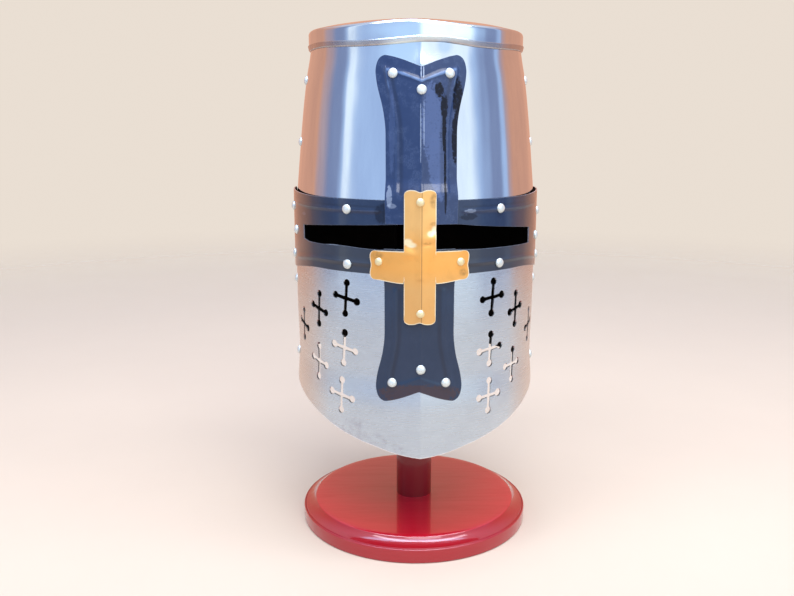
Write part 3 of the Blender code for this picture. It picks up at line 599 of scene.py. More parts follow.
def redLacquer():
    look = {
        "base": (0.53, 0.005, 0.021, 1), "dark": (0.36, 0.003, 0.012, 1), "bright": (0.58, 0.007, 0.026, 1),
        "side": (0.36, 0.005, 0.014, 1), "post": (0.20, 0.002, 0.006, 1),
    }
    material, tree, shader = newMaterial(
        "redLacquer", Coat_Weight=1.0, Coat_Roughness=0.035, Coat_IOR=1.5, Specular_IOR_Level=0.3)
    # Grain runs across the board, under the gloss
    place = tree.place()
    stretched = tree.stretch(place, (6.0, 52.0, 14.0))
    fibres = tree.cloud(stretched, 3.0, 6.0, 0.65, 0.8)
    bands = tree.cloud(stretched, 0.7, 3.0, 0.5, 1.2)
    pores = tree.mask("specks", Size=300.0, Amount=0.10)
    colour = tree.tint(tree.remap(bands, 0.35, 0.68), look["base"], look["bright"])
    colour = tree.over(colour, tree.remap(fibres, 0.50, 0.76), 0.18, look["dark"])
    colour = tree.over(colour, pores, 0.35, look["dark"])
    # The turned edge is painted darker as shade on its side, the post is darker, and the post is painted black
    # as shade where the helm shades it
    height = axes(tree)["Z"]
    colour = tree.tint(tree.remap(height, 0.0190, 0.0196, 1.0, 0.0), colour, look["side"])
    colour = tree.tint(tree.remap(height, 0.0200, 0.0205), colour, look["post"])
    colour = tree.tint(tree.remap(height, 0.14, 0.24, smooth=True), colour, (0.004, 0.001, 0.001, 1))
    tree.join(colour, shader["Base Color"])
    tree.join(tree.remap(fibres, 0.3, 0.7, 0.28, 0.42), shader["Roughness"])
    gloss = tree.sum("MULTIPLY", tree.remap(height, 0.0200, 0.0205, 1.0, 0.4),
                     tree.remap(height, 0.14, 0.24, 1.0, 0.0))
    tree.join(gloss, shader["Coat Weight"])
    ripple = tree.sum("ADD", tree.cloud(place, 22.0, 2.0), tree.sum("MULTIPLY", fibres, 0.10))
    tree.join(tree.bump(ripple, 0.07, 0.0005), shader["Normal"])
    return material


def paleFloor():
    look = {"near": (0.69, 0.59, 0.475, 1), "mottled": (0.74, 0.635, 0.515, 1), "frontShade": (0.54, 0.475, 0.395, 1)}
    material, tree, shader = newMaterial("paleFloor", Specular_IOR_Level=0.2)
    soft = tree.cloud(tree.place(), 5.0, 4.0, 0.6)
    colour = tree.tint(soft, look["near"], look["mottled"])
    # Painted shade: darker toward the front, where the front softbox lights the floor most
    frontShadeShare = tree.remap(axes(tree)["Y"], -0.08, -0.40, 0.0, 0.75, smooth=True)
    tree.join(tree.tint(frontShadeShare, colour, look["frontShade"]), shader["Base Color"])
    tree.join(tree.remap(soft, 0.3, 0.7, 0.75, 0.9), shader["Roughness"])
    # It thins out into the backdrop far from the helm
    place = axes(tree)
    away = tree.length(place["X"], place["Y"])
    tree.join(tree.remap(away, 0.8, 2.4, 1.0, 0.0, smooth=True), shader["Alpha"])
    return material


# Where the upper bar's paint is thick and pitted, or rubbed to the metal; the pale blue patches are a painted
# sheen
upperBarSpots = (
    (0.0085, 0.3780, 0.0115, 0.0420, 0.9, "paintedSheen"),
    (0.0120, 0.3480, 0.0090, 0.0330, 0.9, "paintedSheen"),
    (0.0150, 0.3300, 0.0050, 0.0180, 0.8, "paintedSheen"),
    (-0.0235, 0.3700, 0.0030, 0.0450, 0.4, "paintedSheen"),
    (0.0270, 0.3720, 0.0030, 0.0330, 0.6, "paintedSheen"),
    (0.0140, 0.4030, 0.0050, 0.0080, 1.0, "black"),
    (0.0180, 0.3900, 0.0040, 0.0130, 1.0, "black"),
    (0.0180, 0.3720, 0.0022, 0.0240, 1.0, "black"),
    (0.0187, 0.3420, 0.0013, 0.0330, 1.0, "black"),
    (0.0190, 0.3180, 0.0013, 0.0160, 0.9, "black"),
    (0.0290, 0.3950, 0.0055, 0.0230, 1.0, "black"),
    (0.0270, 0.3660, 0.0038, 0.0270, 1.0, "black"),
    (-0.0008, 0.3700, 0.0006, 0.0330, 0.45, "worn"),
    (0.0018, 0.3760, 0.0005, 0.0240, 0.45, "worn"),
    (-0.0004, 0.4165, 0.0006, 0.0062, 0.8, "worn"),
    (0.0016, 0.4165, 0.0006, 0.0062, 0.7, "worn"),
    (-0.0258, 0.3200, 0.0030, 0.0110, 0.35, "worn"),
    (-0.0240, 0.3125, 0.0050, 0.0026, 0.25, "worn"),
)
bandSpots = (
    (-0.0300, 0.3060, 0.0100, 0.0110, 0.6, "black"),
    (0.0385, 0.3030, 0.0100, 0.0035, 0.6, "black"),
    (0.0400, 0.3078, 0.0065, 0.0022, 0.3, "worn"),
    (-0.0985, 0.3005, 0.0022, 0.0018, 0.7, "worn"),
    (-0.0760, 0.2782, 0.0130, 0.0009, 0.8, "worn"),
)
# Tarnish by the side rivets; painted shade down the right of the nose and in its crease; painted highlights on
# two dents
brassSpots = (
    (-0.0360, 0.2725, 0.0070, 0.0045, 0.6, "tarnishAndShade"),
    (0.0345, 0.2585, 0.0050, 0.0040, 0.6, "tarnishAndShade"),
    (0.0098, 0.3170, 0.0050, 0.0085, 0.6, "tarnishAndShade"),
    (0.0098, 0.2985, 0.0045, 0.0025, 0.5, "tarnishAndShade"),
    (0.0045, 0.2832, 0.0045, 0.0014, 0.6, "tarnishAndShade"),
    (-0.0112, 0.2840, 0.0052, 0.0040, 0.9, "bright"),
    (-0.0080, 0.2818, 0.0052, 0.0030, 0.8, "bright"),
    (0.0104, 0.2938, 0.0036, 0.0046, 0.9, "bright"),
    (0.0072, 0.2908, 0.0040, 0.0034, 0.7, "bright"),
)
# Painted reflection: brownish at the lower bar's tip, where it would mirror the ground
lowerBarSpots = (
    (-0.0010, 0.1560, 0.0450, 0.0115, 0.9, "paintedBrownReflection"),
)
finish = {
    "polished": polishedSteel("polishedSteel", (0.66, 0.69, 0.73, 1), (0.58, 0.61, 0.67, 1), (0.07, 0.14)),
    # The rolled lip gets a darker copy of the polished steel: painted shade for its downward-facing roll
    "lip": polishedSteel("rolledLipShadedSteel", (0.50, 0.49, 0.51, 1), (0.38, 0.37, 0.39, 1), (0.20, 0.30)),
    "satin": satinSteel(),
    "inside": shadeBlackInside(),
    "band": blueBlack("blueBlackBand", (0.009, 0.022, 0.062, 1), (0.024, 0.040, 0.082, 1), bandSpots, 0.10),
    "upperBar": blueBlack("blueBlackUpperBar", (0.011, 0.027, 0.088, 1), (0.024, 0.046, 0.115, 1),
                          upperBarSpots, 0.55),
    "lowerBar": blueBlack("blueBlackLowerBar", (0.010, 0.025, 0.058, 1), (0.020, 0.037, 0.076, 1),
                          lowerBarSpots, 0.05),
    "brass": brassSheet("brassSheet", (0.88, 0.40, 0.090, 1), (0.90, 0.46, 0.125, 1), 1.0),
    "brassRivet": brassSheet("brassRivet", (0.80, 0.66, 0.36, 1), (0.88, 0.78, 0.50, 1), 0.0),
    "rivet": hammeredSteel(),
    "lacquer": redLacquer(),
    "floor": paleFloor(),
}
print("materials built:", len(finish))


def toScene(name, mesh, materials):
    piece = bpy.data.objects.new(name, mesh)
    bpy.context.scene.collection.objects.link(piece)
    for material in materials:
        mesh.materials.append(material)
    return piece


def settle(piece, slotName, *nodes):
    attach(piece, "root")
    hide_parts(*nodes)


def closeMesh(mesh, sharpAngle, poke=False):
    # Turns every face outward and shades smooth up to the sharp angle; poke fans out the widest faces
    bm = bmesh.new()
    bm.from_mesh(mesh)
    if poke:
        bmesh.ops.poke(bm, faces=[face for face in bm.faces if len(face.verts) > 4])
    bmesh.ops.recalc_face_normals(bm, faces=bm.faces)
    bm.to_mesh(mesh)
    bm.free()
    mesh.shade_smooth()
    mesh.set_sharp_from_angle(angle=sharpAngle)


def bakeModifiers(piece):
    graph = bpy.context.evaluated_depsgraph_get()
    mesh = bpy.data.meshes.new_from_object(piece.evaluated_get(graph))
    old = piece.data
    piece.modifiers.clear()
    piece.data = mesh
    bpy.data.meshes.remove(old)


def roundRims(piece, width):
    bevel = piece.modifiers.new("rims", "BEVEL")
    bevel.width = width
    bevel.segments = 2
    bevel.limit_method = "ANGLE"
    bevel.angle_limit = radians(50)
    bevel.harden_normals = True


def sheetPiece(name, grid, outerOffset, materials, keep=None, rimReach=0.003, waves=1.0, ridgeAt=None):
    # Two skins of grid points one sheet apart, closed round every open edge; rim fades in from the edges
    rows, columns = len(grid), len(grid[0])
    kept = {(i, j) for i in range(rows - 1) for j in range(columns - 1) if keep is None or keep(i, j)}
    skins = ([], [])
    for i, row in enumerate(grid):
        for j, (angle, height) in enumerate(row):
            offset = outerOffset(angle, height) + waves * rollWaves(angle, height)
            skins[0].append(wallPoint(angle, height, offset))
            skins[1].append(wallPoint(angle, height, offset - helm["sheet"]))
    used = sorted({(i + a) * columns + j + b for i, j in kept for a in (0, 1) for b in (0, 1)})
    fresh = {old: new for new, old in enumerate(used)}
    verts = [skins[0][k] for k in used] + [skins[1][k] for k in used]
    faces, sides = [], []
    edgePoints = set()
    shift = len(used)

    def cornersOf(i, j):
        return [fresh[a * columns + b] for a, b in ((i, j), (i, j + 1), (i + 1, j + 1), (i + 1, j))]

    for i, j in sorted(kept):
        corners = cornersOf(i, j)
        faces.append(corners)
        sides.append(0)
        faces.append([k + shift for k in reversed(corners)])
        sides.append(1)
        for side, neighbour in enumerate(((i - 1, j), (i, j + 1), (i + 1, j), (i, j - 1))):
            if neighbour in kept:
                continue
            a, b = corners[side], corners[(side + 1) % 4]
            faces.append([b, a, a + shift, b + shift])
            sides.append(0)
            edgePoints.update((a, b))
    mesh = bpy.data.meshes.new(name)
    mesh.from_pydata(verts, [], faces)
    mesh.polygons.foreach_set("material_index", sides)
    # Distance from the open edges, walked over the grid's neighbours
    links = {}
    for i, j in kept:
        corners = cornersOf(i, j)
        for a, b in zip(corners, corners[1:] + corners[:1]):
            links.setdefault(a, set()).add(b)
            links.setdefault(b, set()).add(a)
    distance = {k: 0.0 for k in edgePoints}
    queue = list(edgePoints)
    while queue:
        later = []
        for k in queue:
            for other in links[k]:
                way = distance[k] + (verts[k] - verts[other]).length
                if way < rimReach and way < distance.get(other, rimReach):
                    distance[other] = way
                    later.append(other)
        queue = later
    rim = [0.0] * len(verts)
    for k, way in distance.items():
        rim[k] = rim[k + shift] = 1.0 - way / rimReach
    layer = mesh.attributes.new("rim", "FLOAT", "POINT")
    layer.data.foreach_set("value", rim)
    if ridgeAt:
        marks = [ridgeAt(*place) for row in grid for place in row]
        layer = mesh.attributes.new("ridge", "FLOAT", "POINT")
        layer.data.foreach_set("value", 2 * [marks[k] for k in used])
    closeMesh(mesh, radians(50))
    return toScene(name, mesh, materials)


def frontAngles(step):
    # Finer at the keel
    limit = helm["seamAngle"]
    count = ceil(limit / step)
    side = [limit * (k / count) ** 1.12 for k in range(count + 1)]
    return [-angle for angle in reversed(side[1:])] + side


def backAngles(step):
    start = helm["seamAngle"] - helm["lapAngle"]
    count = ceil((2 * pi - 2 * start) / step)
    return [mixed(start, 2 * pi - start, k / count) for k in range(count + 1)]


# Skull: the polished upper plates
skull = {
    "step": radians(1.1),
    "rowHeight": 0.0024,
    "crest": 0.00014,         # the keel's fine ridge
    "crestWidth": radians(0.8),
    "pinch": 0.0003,          # the pinched, ragged crease just above the bar's notch
    "pinchAt": 0.4225,
    "top": 0.450,
    "joggle": 0.004,
    "backLow": 0.2615,
}


def crestAt(angle, height):
    ridge = skull["crest"] * bell(angle, skull["crestWidth"])
    pinch = bell(height - skull["pinchAt"], 0.003)
    ragged = 1.0 + 0.7 * noise.noise(Vector((angle * 160.0, height * 900.0, 2.0)))
    return ridge + skull["pinch"] * pinch * bell(angle, skull["crestWidth"] * 1.4) * ragged


def makeSkull():
    angles = frontAngles(skull["step"])
    low = slit["top"] + slit["plateBack"]
    rows = ceil((skull["top"] - low) / skull["rowHeight"])
    grid = [[(angle, mixed(slitTopAt(angle) + slit["plateBack"], skull["top"], k / rows)) for angle in angles]
            for k in range(rows + 1)]
    front = sheetPiece("skullFrontSkin", grid, crestAt, (finish["polished"], finish["inside"]))
    settle(front, "polished_steel", "skull_front")

    def backOffset(angle, height):
        # One more step in, to pass inside the neck plate
        return -helm["step"] - helm["step"] * ease((slit["top"] - height) / skull["joggle"])

    rows = ceil((skull["top"] - skull["backLow"]) / skull["rowHeight"])
    heights = [mixed(skull["backLow"], skull["top"], k / rows) for k in range(rows + 1)]
    grid = [[(angle, height) for angle in backAngles(skull["step"] * 1.4)] for height in heights]
    back = sheetPiece("skullBackSkin", grid, backOffset, (finish["polished"], finish["inside"]))
    settle(back, "polished_steel", "skull_back")


makeSkull()
print("skull plates done")

# Crown cap: gently domed, with a turned-down flange and a rolled lip
cap = {
    "domeRise": 0.0087,
    "peak": 0.0026,           # the edge stands up over the keel
    "peakAngle": radians(-6),
    "peakWidth": radians(20),
    "domeCurve": 3.0,
    "flange": 0.017,
    "corner": 0.0032,
    "lipHeight": 0.0044,
    "lipRoll": 0.0008,        # how far the lip stands out at its upper edge
    "lipTuck": 0.0006,        # and how far it turns in at its lower one
    "tilt": 0.0009,           # the cap sits a little lower on the right
    "topDrop": 0.0004,
    "cornerUneven": 0.25,
    "waveFrom": 0.085,        # the roller waves stop short of the dome
    "turns": 300,
}
# degrees from the front, height of the lip's lower edge above the flange's own level, mm
lipWave = (
    (-180, 0.6), (-90, 0.8), (-61, 1.0), (-43, 0.1), (-31, -0.5), (-20, -0.2), (-10, 0.8),
    (0, 2.0), (8, 2.1), (19, 0.5), (30, -1.2), (43, -1.6), (61, -0.6), (90, 0.2), (180, 0.6),
)


def capProfile(angle):
    base = helm["crown"] - cap["flange"]
    edge = wallRadius(base) + helm["step"] + keelAt(angle, base)
    lip = base + curveThrough(lipWave, angle * 180 / pi) * 0.001
    tilt = cap["tilt"] * sin(angle)
    peak = cap["peak"] * bell(angle - cap["peakAngle"], cap["peakWidth"])
    crown = helm["crown"] - cap["topDrop"]
    uneven = noise.noise(Vector((angle * 3.0, 0.0, 5.0)))
    corner = cap["corner"] * (1.0 + cap["cornerUneven"] * uneven)
    points = []
    for k in range(16):
        share = (k / 15) ** 0.85 * 0.985
        radius = (edge - corner) * share
        lean = peak * share ** 5 - tilt * share
        points.append((radius, crown + lean + cap["domeRise"] * (1 - share ** cap["domeCurve"])))
    crown += peak - tilt
    for k in range(9):
        turn = k * pi / 16
        points.append((edge - corner + corner * sin(turn), crown - corner + corner * cos(turn)))
    upper = lip + cap["lipHeight"]
    for k in range(1, 7):
        points.append((edge, mixed(crown - corner, upper + 0.0012, k / 6)))
    roll, tuck = cap["lipRoll"], cap["lipTuck"]
    points += [(edge, upper + 0.0003), (edge + 0.7 * roll, upper), (edge + roll, upper - 0.0004)]
    for k in range(1, 6):
        points.append((edge + mixed(roll, -tuck * 0.3, k / 6), mixed(upper - 0.0004, lip + 0.0005, k / 5)))
    points += [(edge - tuck * 0.7, lip + 0.0001), (edge - tuck, lip)]
    return points


def makeCap():
    verts, faces, sides = [], [], []
    turns = cap["turns"]
    for step in range(turns):
        angle = 2 * pi * step / turns
        angle = (angle + pi) % (2 * pi) - pi
        outer = capProfile(angle)
        inner = []
        for k, (radius, height) in enumerate(outer):
            before, after = outer[max(k - 1, 0)], outer[min(k + 1, len(outer) - 1)]
            along = Vector((after[0] - before[0], after[1] - before[1])).normalized()
            inner.append((max(radius + along.y * helm["sheet"], 0.0), height - along.x * helm["sheet"]))
        lipStart = len(outer) - 10
        inner = inner[:lipStart] + [(outer[-1][0] - helm["sheet"] * 0.9, outer[-1][1] + 0.0002)]
        ring = outer[1:] + list(reversed(inner[1:]))
        ringSize = len(ring)
        for radius, height in ring:
            wave = rollWaves(angle, height) if radius > cap["waveFrom"] else 0.0
            verts.append(planPoint(radius + wave, angle, height))
    outerCount = len(capProfile(0.0)) - 1
    for step in range(turns):
        after = (step + 1) % turns
        for k in range(ringSize - 1):
            a, b = step * ringSize + k, after * ringSize + k
            faces.append([a, a + 1, b + 1, b])
            sides.append(1 if k >= outerCount else 2 if k >= lipStart else 0)
    faces.append([step * ringSize for step in range(turns)])
    sides.append(0)
    faces.append([step * ringSize + ringSize - 1 for step in reversed(range(turns))])
    sides.append(1)
    mesh = bpy.data.meshes.new("crownCapSkin")
    mesh.from_pydata(verts, [], faces)
    mesh.polygons.foreach_set("material_index", sides)
    closeMesh(mesh, radians(48), poke=True)
    piece = toScene("crownCapSkin", mesh, (finish["polished"], finish["inside"], finish["lip"]))
    settle(piece, "polished_steel", "crown_cap")


makeCap()
print("crown cap done")

# Face and neck plates
face = {
    "step": radians(1.1),
    "rowHeight": 0.0024,
    "sideRise": 0.044,
    "pointDrop": 0.004,
    "pointAngle": radians(20),
    "rimCurve": 1.65,
    "crest": 0.00018,
    "crestWidth": radians(0.6),
    "neckRise": 0.050,
    "neckTilt": 0.0075,
    "neckTop": 0.2835,
    "barWidth": 0.0030,       # breaths
    "holeRadius": 0.0032,
    "holeSides": 20,
    "slitAbove": 0.178,
    "cutDepth": 0.008,
}
# share of the slit's height above the chin, degrees from the front, tilt of the level arms,
# lean of the upright ones, level arm and upright arm in mm
breaths = (
    (0.750, -34.4, -9.8, 4.0, 11.2, 13.3),
    (0.507, -35.9, -10.3, 4.0, 11.2, 13.3),
    (0.271, -37.2, -9.3, 0.0, 11.4, 13.2),
    (0.675, -51.6, -15.0, 4.0, 9.6, 13.3),
    (0.408, -52.8, -12.5, 1.0, 10.0, 13.6),
    (0.567, -67.5, -17.0, 4.0, 9.0, 12.6),
    (0.752, 34.0, 6.3, 3.0, 10.6, 13.6),
    (0.501, 33.6, 7.3, 2.0, 11.2, 12.9),
    (0.271, 32.8, 5.3, 4.0, 10.4, 13.0),
    (0.673, 50.2, 13.0, 1.0, 8.8, 13.3),
    (0.394, 49.0, 5.0, 5.0, 9.6, 13.4),
    (0.560, 67.0, 15.0, 2.0, 8.8, 13.0),
)


def lowerRim(angle):
    side = helm["chin"] + face["sideRise"]
    curve = max(0.0, cos(angle)) ** face["rimCurve"]
    point = face["pointDrop"] * max(0.0, 1.0 - abs(angle) / face["pointAngle"])
    return side - (face["sideRise"] - face["pointDrop"]) * curve - point


def breathOutline(tilt, lean, level, upright, rand):
    # A cross with drilled, slightly uneven holes at its ends
    half = face["barWidth"] / 2
    outline = []
    for quarter in range(4):
        across = quarter % 2 == 0
        turn = quarter * pi / 2 + radians(tilt if across else -lean) + radians(rand.uniform(-1.0, 1.0))
        along = Vector((cos(turn), sin(turn)))
        side = Vector((-sin(turn), cos(turn)))
        arm = (level if across else upright) * 0.001 * rand.uniform(0.985, 1.015)
        hole = face["holeRadius"] * rand.uniform(0.95, 1.06)
        start = asin(half / hole)
        outline.append(along * half * 1.08 - side * half * 1.08)
        for k in range(face["holeSides"]):
            sweep = start - pi + 2 * (pi - start) * k / (face["holeSides"] - 1)
            outline.append(along * (arm + hole * cos(sweep)) + side * hole * sin(sweep))
    return outline


def cutBreaths(plate):
    rand = random.Random(7)
    bm = bmesh.new()
    for share, degrees, tilt, lean, level, upright in breaths:
        angle = radians(degrees)
        height = helm["chin"] + face["slitAbove"] * share
        centre = wallPoint(angle, height, 0.0)
        across = Vector((cos(angle), sin(angle), 0.0))
        out = Vector((sin(angle), -cos(angle), 0.0))
        rings = []
        outline = breathOutline(tilt, lean, level, upright, rand)
        for depth in (-face["cutDepth"], face["cutDepth"]):
            rings.append([bm.verts.new(centre + across * p.x + Vector((0, 0, p.y)) + out * depth)
                          for p in outline])
        bm.faces.new(rings[0])
        bm.faces.new(list(reversed(rings[1])))
        for k in range(len(outline)):
            after = (k + 1) % len(outline)
            bm.faces.new((rings[0][k], rings[1][k], rings[1][after], rings[0][after]))
    bmesh.ops.recalc_face_normals(bm, faces=bm.faces)
    mesh = bpy.data.meshes.new("breathCutter")
    bm.to_mesh(mesh)
    bm.free()
    cutter = toScene("breathCutter", mesh, ())
    cut = plate.modifiers.new("breaths", "BOOLEAN")
    cut.operation = "DIFFERENCE"
    cut.solver = "EXACT"
    cut.object = cutter
    bakeModifiers(plate)
    bpy.data.objects.remove(cutter)
    plate.data.set_sharp_from_angle(angle=radians(50))


def makeFace():
    angles = frontAngles(face["step"])
    rows = ceil((slit["bottom"] - helm["chin"]) / face["rowHeight"])
    grid = []
    for share in closeEnds(rows, 0.45):
        grid.append([(angle, mixed(lowerRim(angle), slitBottomAt(angle) - slit["plateBack"], share))
                     for angle in angles])
    plate = sheetPiece("facePlateSkin", grid,
                       lambda angle, height: face["crest"] * bell(angle, face["crestWidth"]),
                       (finish["satin"], finish["inside"]), rimReach=0.0045)
    cutBreaths(plate)
    settle(plate, "satin_steel", "face_plate")
    low = helm["chin"] + face["neckRise"]
    rows = ceil((face["neckTop"] - low) / face["rowHeight"])
    # Its rim rises a little on the left
    grid = [[(angle, mixed(low + face["neckTilt"] * max(0.0, -sin(angle)), face["neckTop"], k / rows))
             for angle in backAngles(face["step"] * 1.4)] for k in range(rows + 1)]
    neck = sheetPiece("neckPlateSkin", grid, lambda angle, height: -helm["step"],
                      (finish["satin"], finish["inside"]))
    settle(neck, "satin_steel", "neck_plate")


makeFace()
print("face and neck plates done")

# Brow band with the eye slit
band = {
    "flare": 0.0095,
    "topFlare": 0.0025,
    "flareStart": radians(48),
    "lobeAngle": radians(97),
    "notchAngle": radians(5),
    "bead": 0.0009,
    "beadWidth": 0.0014,
    "beadInset": 0.0085,
    "beadEnd": radians(76),
    "beadStart": 0.031,       # the lines begin beside the bars
    "beadFade": 0.004,
    "paleLineShift": 0.0006,       # the rubbed top with its painted highlight and the painted shade line lie either side of the bead
    "shadeLineShift": 0.0026,
    "slitColumns": 150,
    "endColumns": 26,
    "rows": 22,
    "slitRows": 8,
}
# share of the band's height, share of the way from the end's notch to its lobes
bandLobes = (
    (0.00, 0.55), (0.04, 0.85), (0.12, 1.00), (0.22, 0.92), (0.36, 0.55), (0.50, 0.15),
    (0.64, 0.55), (0.80, 0.92), (0.90, 1.00), (0.97, 0.85), (1.00, 0.55),
)


def bandEdge(angle, level):
    share = (abs(angle) - band["flareStart"]) / (band["lobeAngle"] - band["flareStart"])
    if level > 0:
        return bandTop + band["topFlare"] * ease(share)
    return bandBottom - band["flare"] * ease(share)


def makeBand():
    lowShares = closeEnds(band["rows"], 0.35)
    slitRows = band["slitRows"]
    # (part, share within it): under the slit, beside it, above it
    levels = [("low", share) for share in lowShares]
    levels += [("slit", (k + 1) / slitRows) for k in range(slitRows)]
    levels += [("high", share) for share in lowShares[1:]]
    inSlit = range(len(lowShares) - 1, len(lowShares) - 1 + slitRows)
    grid = []
    for part, share in levels:
        middle = {"low": mixed(bandBottom, slit["bottom"], share),
                  "slit": mixed(slit["bottom"], slit["top"], share),
                  "high": mixed(slit["top"], bandTop, share)}[part]
        lobe = curveThrough(bandLobes, (middle - bandBottom) / (bandTop - bandBottom))
        end = band["lobeAngle"] - band["notchAngle"] * (1.0 - lobe)
        count = band["endColumns"]
        angles = [mixed(-end, slit["leftEnd"], k / count) for k in range(count)]
        angles += [mixed(slit["leftEnd"], slit["rightEnd"], k / band["slitColumns"])
                   for k in range(band["slitColumns"])]
        angles += [mixed(slit["rightEnd"], end, k / count) for k in range(count + 1)]
        row = []
        for angle in angles:
            low, high = bandEdge(angle, -1), bandEdge(angle, 1)
            under, over = slitBottomAt(angle), slitTopAt(angle)
            height = {"low": mixed(low, under, share),
                      "slit": mixed(under, over, share),
                      "high": mixed(over, high, share)}[part]
            row.append((angle, height))
        grid.append(row)
    first = band["endColumns"]
    last = first + band["slitColumns"]

    def keep(i, j):
        return not (i in inSlit and first <= j < last)

    def lines(angle, height, shift, width):
        # The pair of lines along the band's edges, shifted inward
        inset = band["beadInset"] + shift
        return (bell(height - (bandEdge(angle, 1) - inset), width)
                + bell(height - (bandEdge(angle, -1) + inset), width))

    def clear(angle, endFade):
        start = ease((abs(angle) * helm["brow"] - band["beadStart"]) / band["beadFade"])
        return start * ease((band["beadEnd"] - abs(angle)) / endFade)

    def offset(angle, height):
        bead = lines(angle, height, 0.0, band["beadWidth"])
        return bandOffset(height) + band["bead"] * bead * clear(angle, radians(9))

    # Positive where the rubbed top with its painted highlight lies, negative along the painted shade line
    def ridge(angle, height):
        width = band["beadWidth"] * 0.8
        top = lines(angle, height, band["paleLineShift"], width)
        shadeLine = lines(angle, height, -band["shadeLineShift"], width)
        return (top - shadeLine) * clear(angle, radians(12))

    piece = sheetPiece("eyeBandSkin", grid, offset, (finish["band"], finish["inside"]), keep,
                       rimReach=0.0022, waves=0.5, ridgeAt=ridge)
    roundRims(piece, 0.00022)
    settle(piece, "blue_black_paint", "eye_band")


makeBand()
print("eye band done")

# Upright bars of the overlay
bars = {
    "halfWidth": 0.0280,
    "lobeRise": 0.0092,
    "lobeCorner": 0.0065,
    "lobeShare": 0.76,
    "tipShare": 0.90,
    "bead": 0.0007,
    "beadWidth": 0.0020,
    "beadInset": 0.0085,
    "tipInset": 0.0112,
    "tipCorner": 0.0075,
    "fade": 0.004,
    "shadeLine": 0.0036,         # the painted shade line lies this far inside the bead
    "crest": 0.00030,
    "crestWidth": radians(0.8),
    "columns": 116,
    "rowHeight": 0.0009,
}
upperBar = {"foot": slit["top"], "tip": 0.430, "direction": 1.0, "flare": 0.0085, "flareHeight": 0.062,
            "shift": 0.0}
lowerBar = {"foot": slit["bottom"], "tip": 0.1495, "direction": -1.0, "flare": 0.0080, "flareHeight": 0.060,
            "shift": -0.0013}


def barWidth(bar, distance):
    return bars["halfWidth"] + bar["flare"] * ease(1.0 - distance / bar["flareHeight"])


def barPlace(bar, across, distance):
    # (angle, height) of a point given as a share of the half width and the distance from the tip
    width = barWidth(bar, distance)
    corner = max(0.0, 1.0 - distance / bars["tipCorner"])
    full = width * (1.0 - (1.0 - bars["tipShare"]) * (1.0 - sqrt(1.0 - corner * corner)))
    place = full * across
    bend = ease(1.0 - (distance - bars["beadInset"]) / (bar["flareHeight"] * 0.6))
    t = min(abs(place) / (width * bars["lobeShare"]), 1.0)
    reach = 0.5 * t + 0.5 * sin(pi * t / 2) ** 1.1
    past = max(0.0, abs(place) / width - bars["lobeShare"]) / (1.0 - bars["lobeShare"])
    dip = bars["lobeRise"] * (1.0 - reach) + bars["lobeCorner"] * past * past
    height = bar["tip"] - bar["direction"] * (distance + dip * bend)
    return (place + bar["shift"]) / wallRadius(height), height


def makeBar(name, node, bar, material, beadFrom, tipBead):
    length = abs(bar["tip"] - bar["foot"])
    rows = ceil(length / bars["rowHeight"])
    distances = [length * share for share in closeEnds(rows, 0.3)]
    columns = closeEnds(bars["columns"], 0.25)
    grid, rises, ridges = [], {}, {}
    for distance in distances:
        width = barWidth(bar, distance)
        pastTip = distance - bars["tipInset"]
        beforeEnd = ease((beadFrom - distance) / bars["fade"])
        row = []
        for share in columns:
            across = 2.0 * share - 1.0
            at = barPlace(bar, across, distance)
            row.append(at)
            pastSide = width * (1.0 - abs(across)) - bars["beadInset"]
            sideBead = bell(pastSide, bars["beadWidth"]) * beforeEnd
            sideBead *= ease((pastTip + bars["fade"]) / bars["fade"])
            acrossTip = tipBead * bell(pastTip, bars["beadWidth"]) * ease((pastSide + 0.002) / 0.003)
            rises[at] = bars["bead"] * max(sideBead, acrossTip)
            # The painted shade line inside the bead
            inner = bell(pastSide - bars["shadeLine"], bars["beadWidth"]) * beforeEnd
            inner *= ease((pastTip - 0.002) / bars["fade"])
            ridges[at] = max(0.7 * sideBead, acrossTip) * tipBead - inner
        grid.append(row)

    def offset(angle, height):
        crest = bars["crest"] * bell(angle, bars["crestWidth"]) * ease(abs(height - slit["bottom"]) / 0.02)
        return barOffset(height) + rises[(angle, height)] + crest

    piece = sheetPiece(name, grid, offset, (finish[material], finish["inside"]), rimReach=0.0022, waves=0.6,
                       ridgeAt=lambda angle, height: ridges[(angle, height)])
    roundRims(piece, 0.00025)
    settle(piece, "blue_black_paint", node)


makeBar("upperBarSkin", "upper_bar", upperBar, "upperBar", 0.111, 1.0)
makeBar("lowerBarSkin", "lower_bar", lowerBar, "lowerBar", 0.098, 0.35)
print("bars done")

# Brass nasal cross
nasal = {
    "top": 0.3255,
    "bottom": 0.2165,
    "armTop": 0.2765,
    "armHeight": 0.0235,
    "halfSpan": 0.0417,
    "halfWidth": 0.0128,
    "radius": 0.1161,         # of its own bend
    "shift": -0.0013,
    "corner": 0.0045,
    "notch": 0.0016,
    "armNotch": 0.0010,
    "crease": 0.0007,
    "flatShare": 0.60,        # of an end's half width, before its corner rounds off
    "endReach": 0.010,
    "armFall": 0.0028,
    "cell": 0.0007,
}
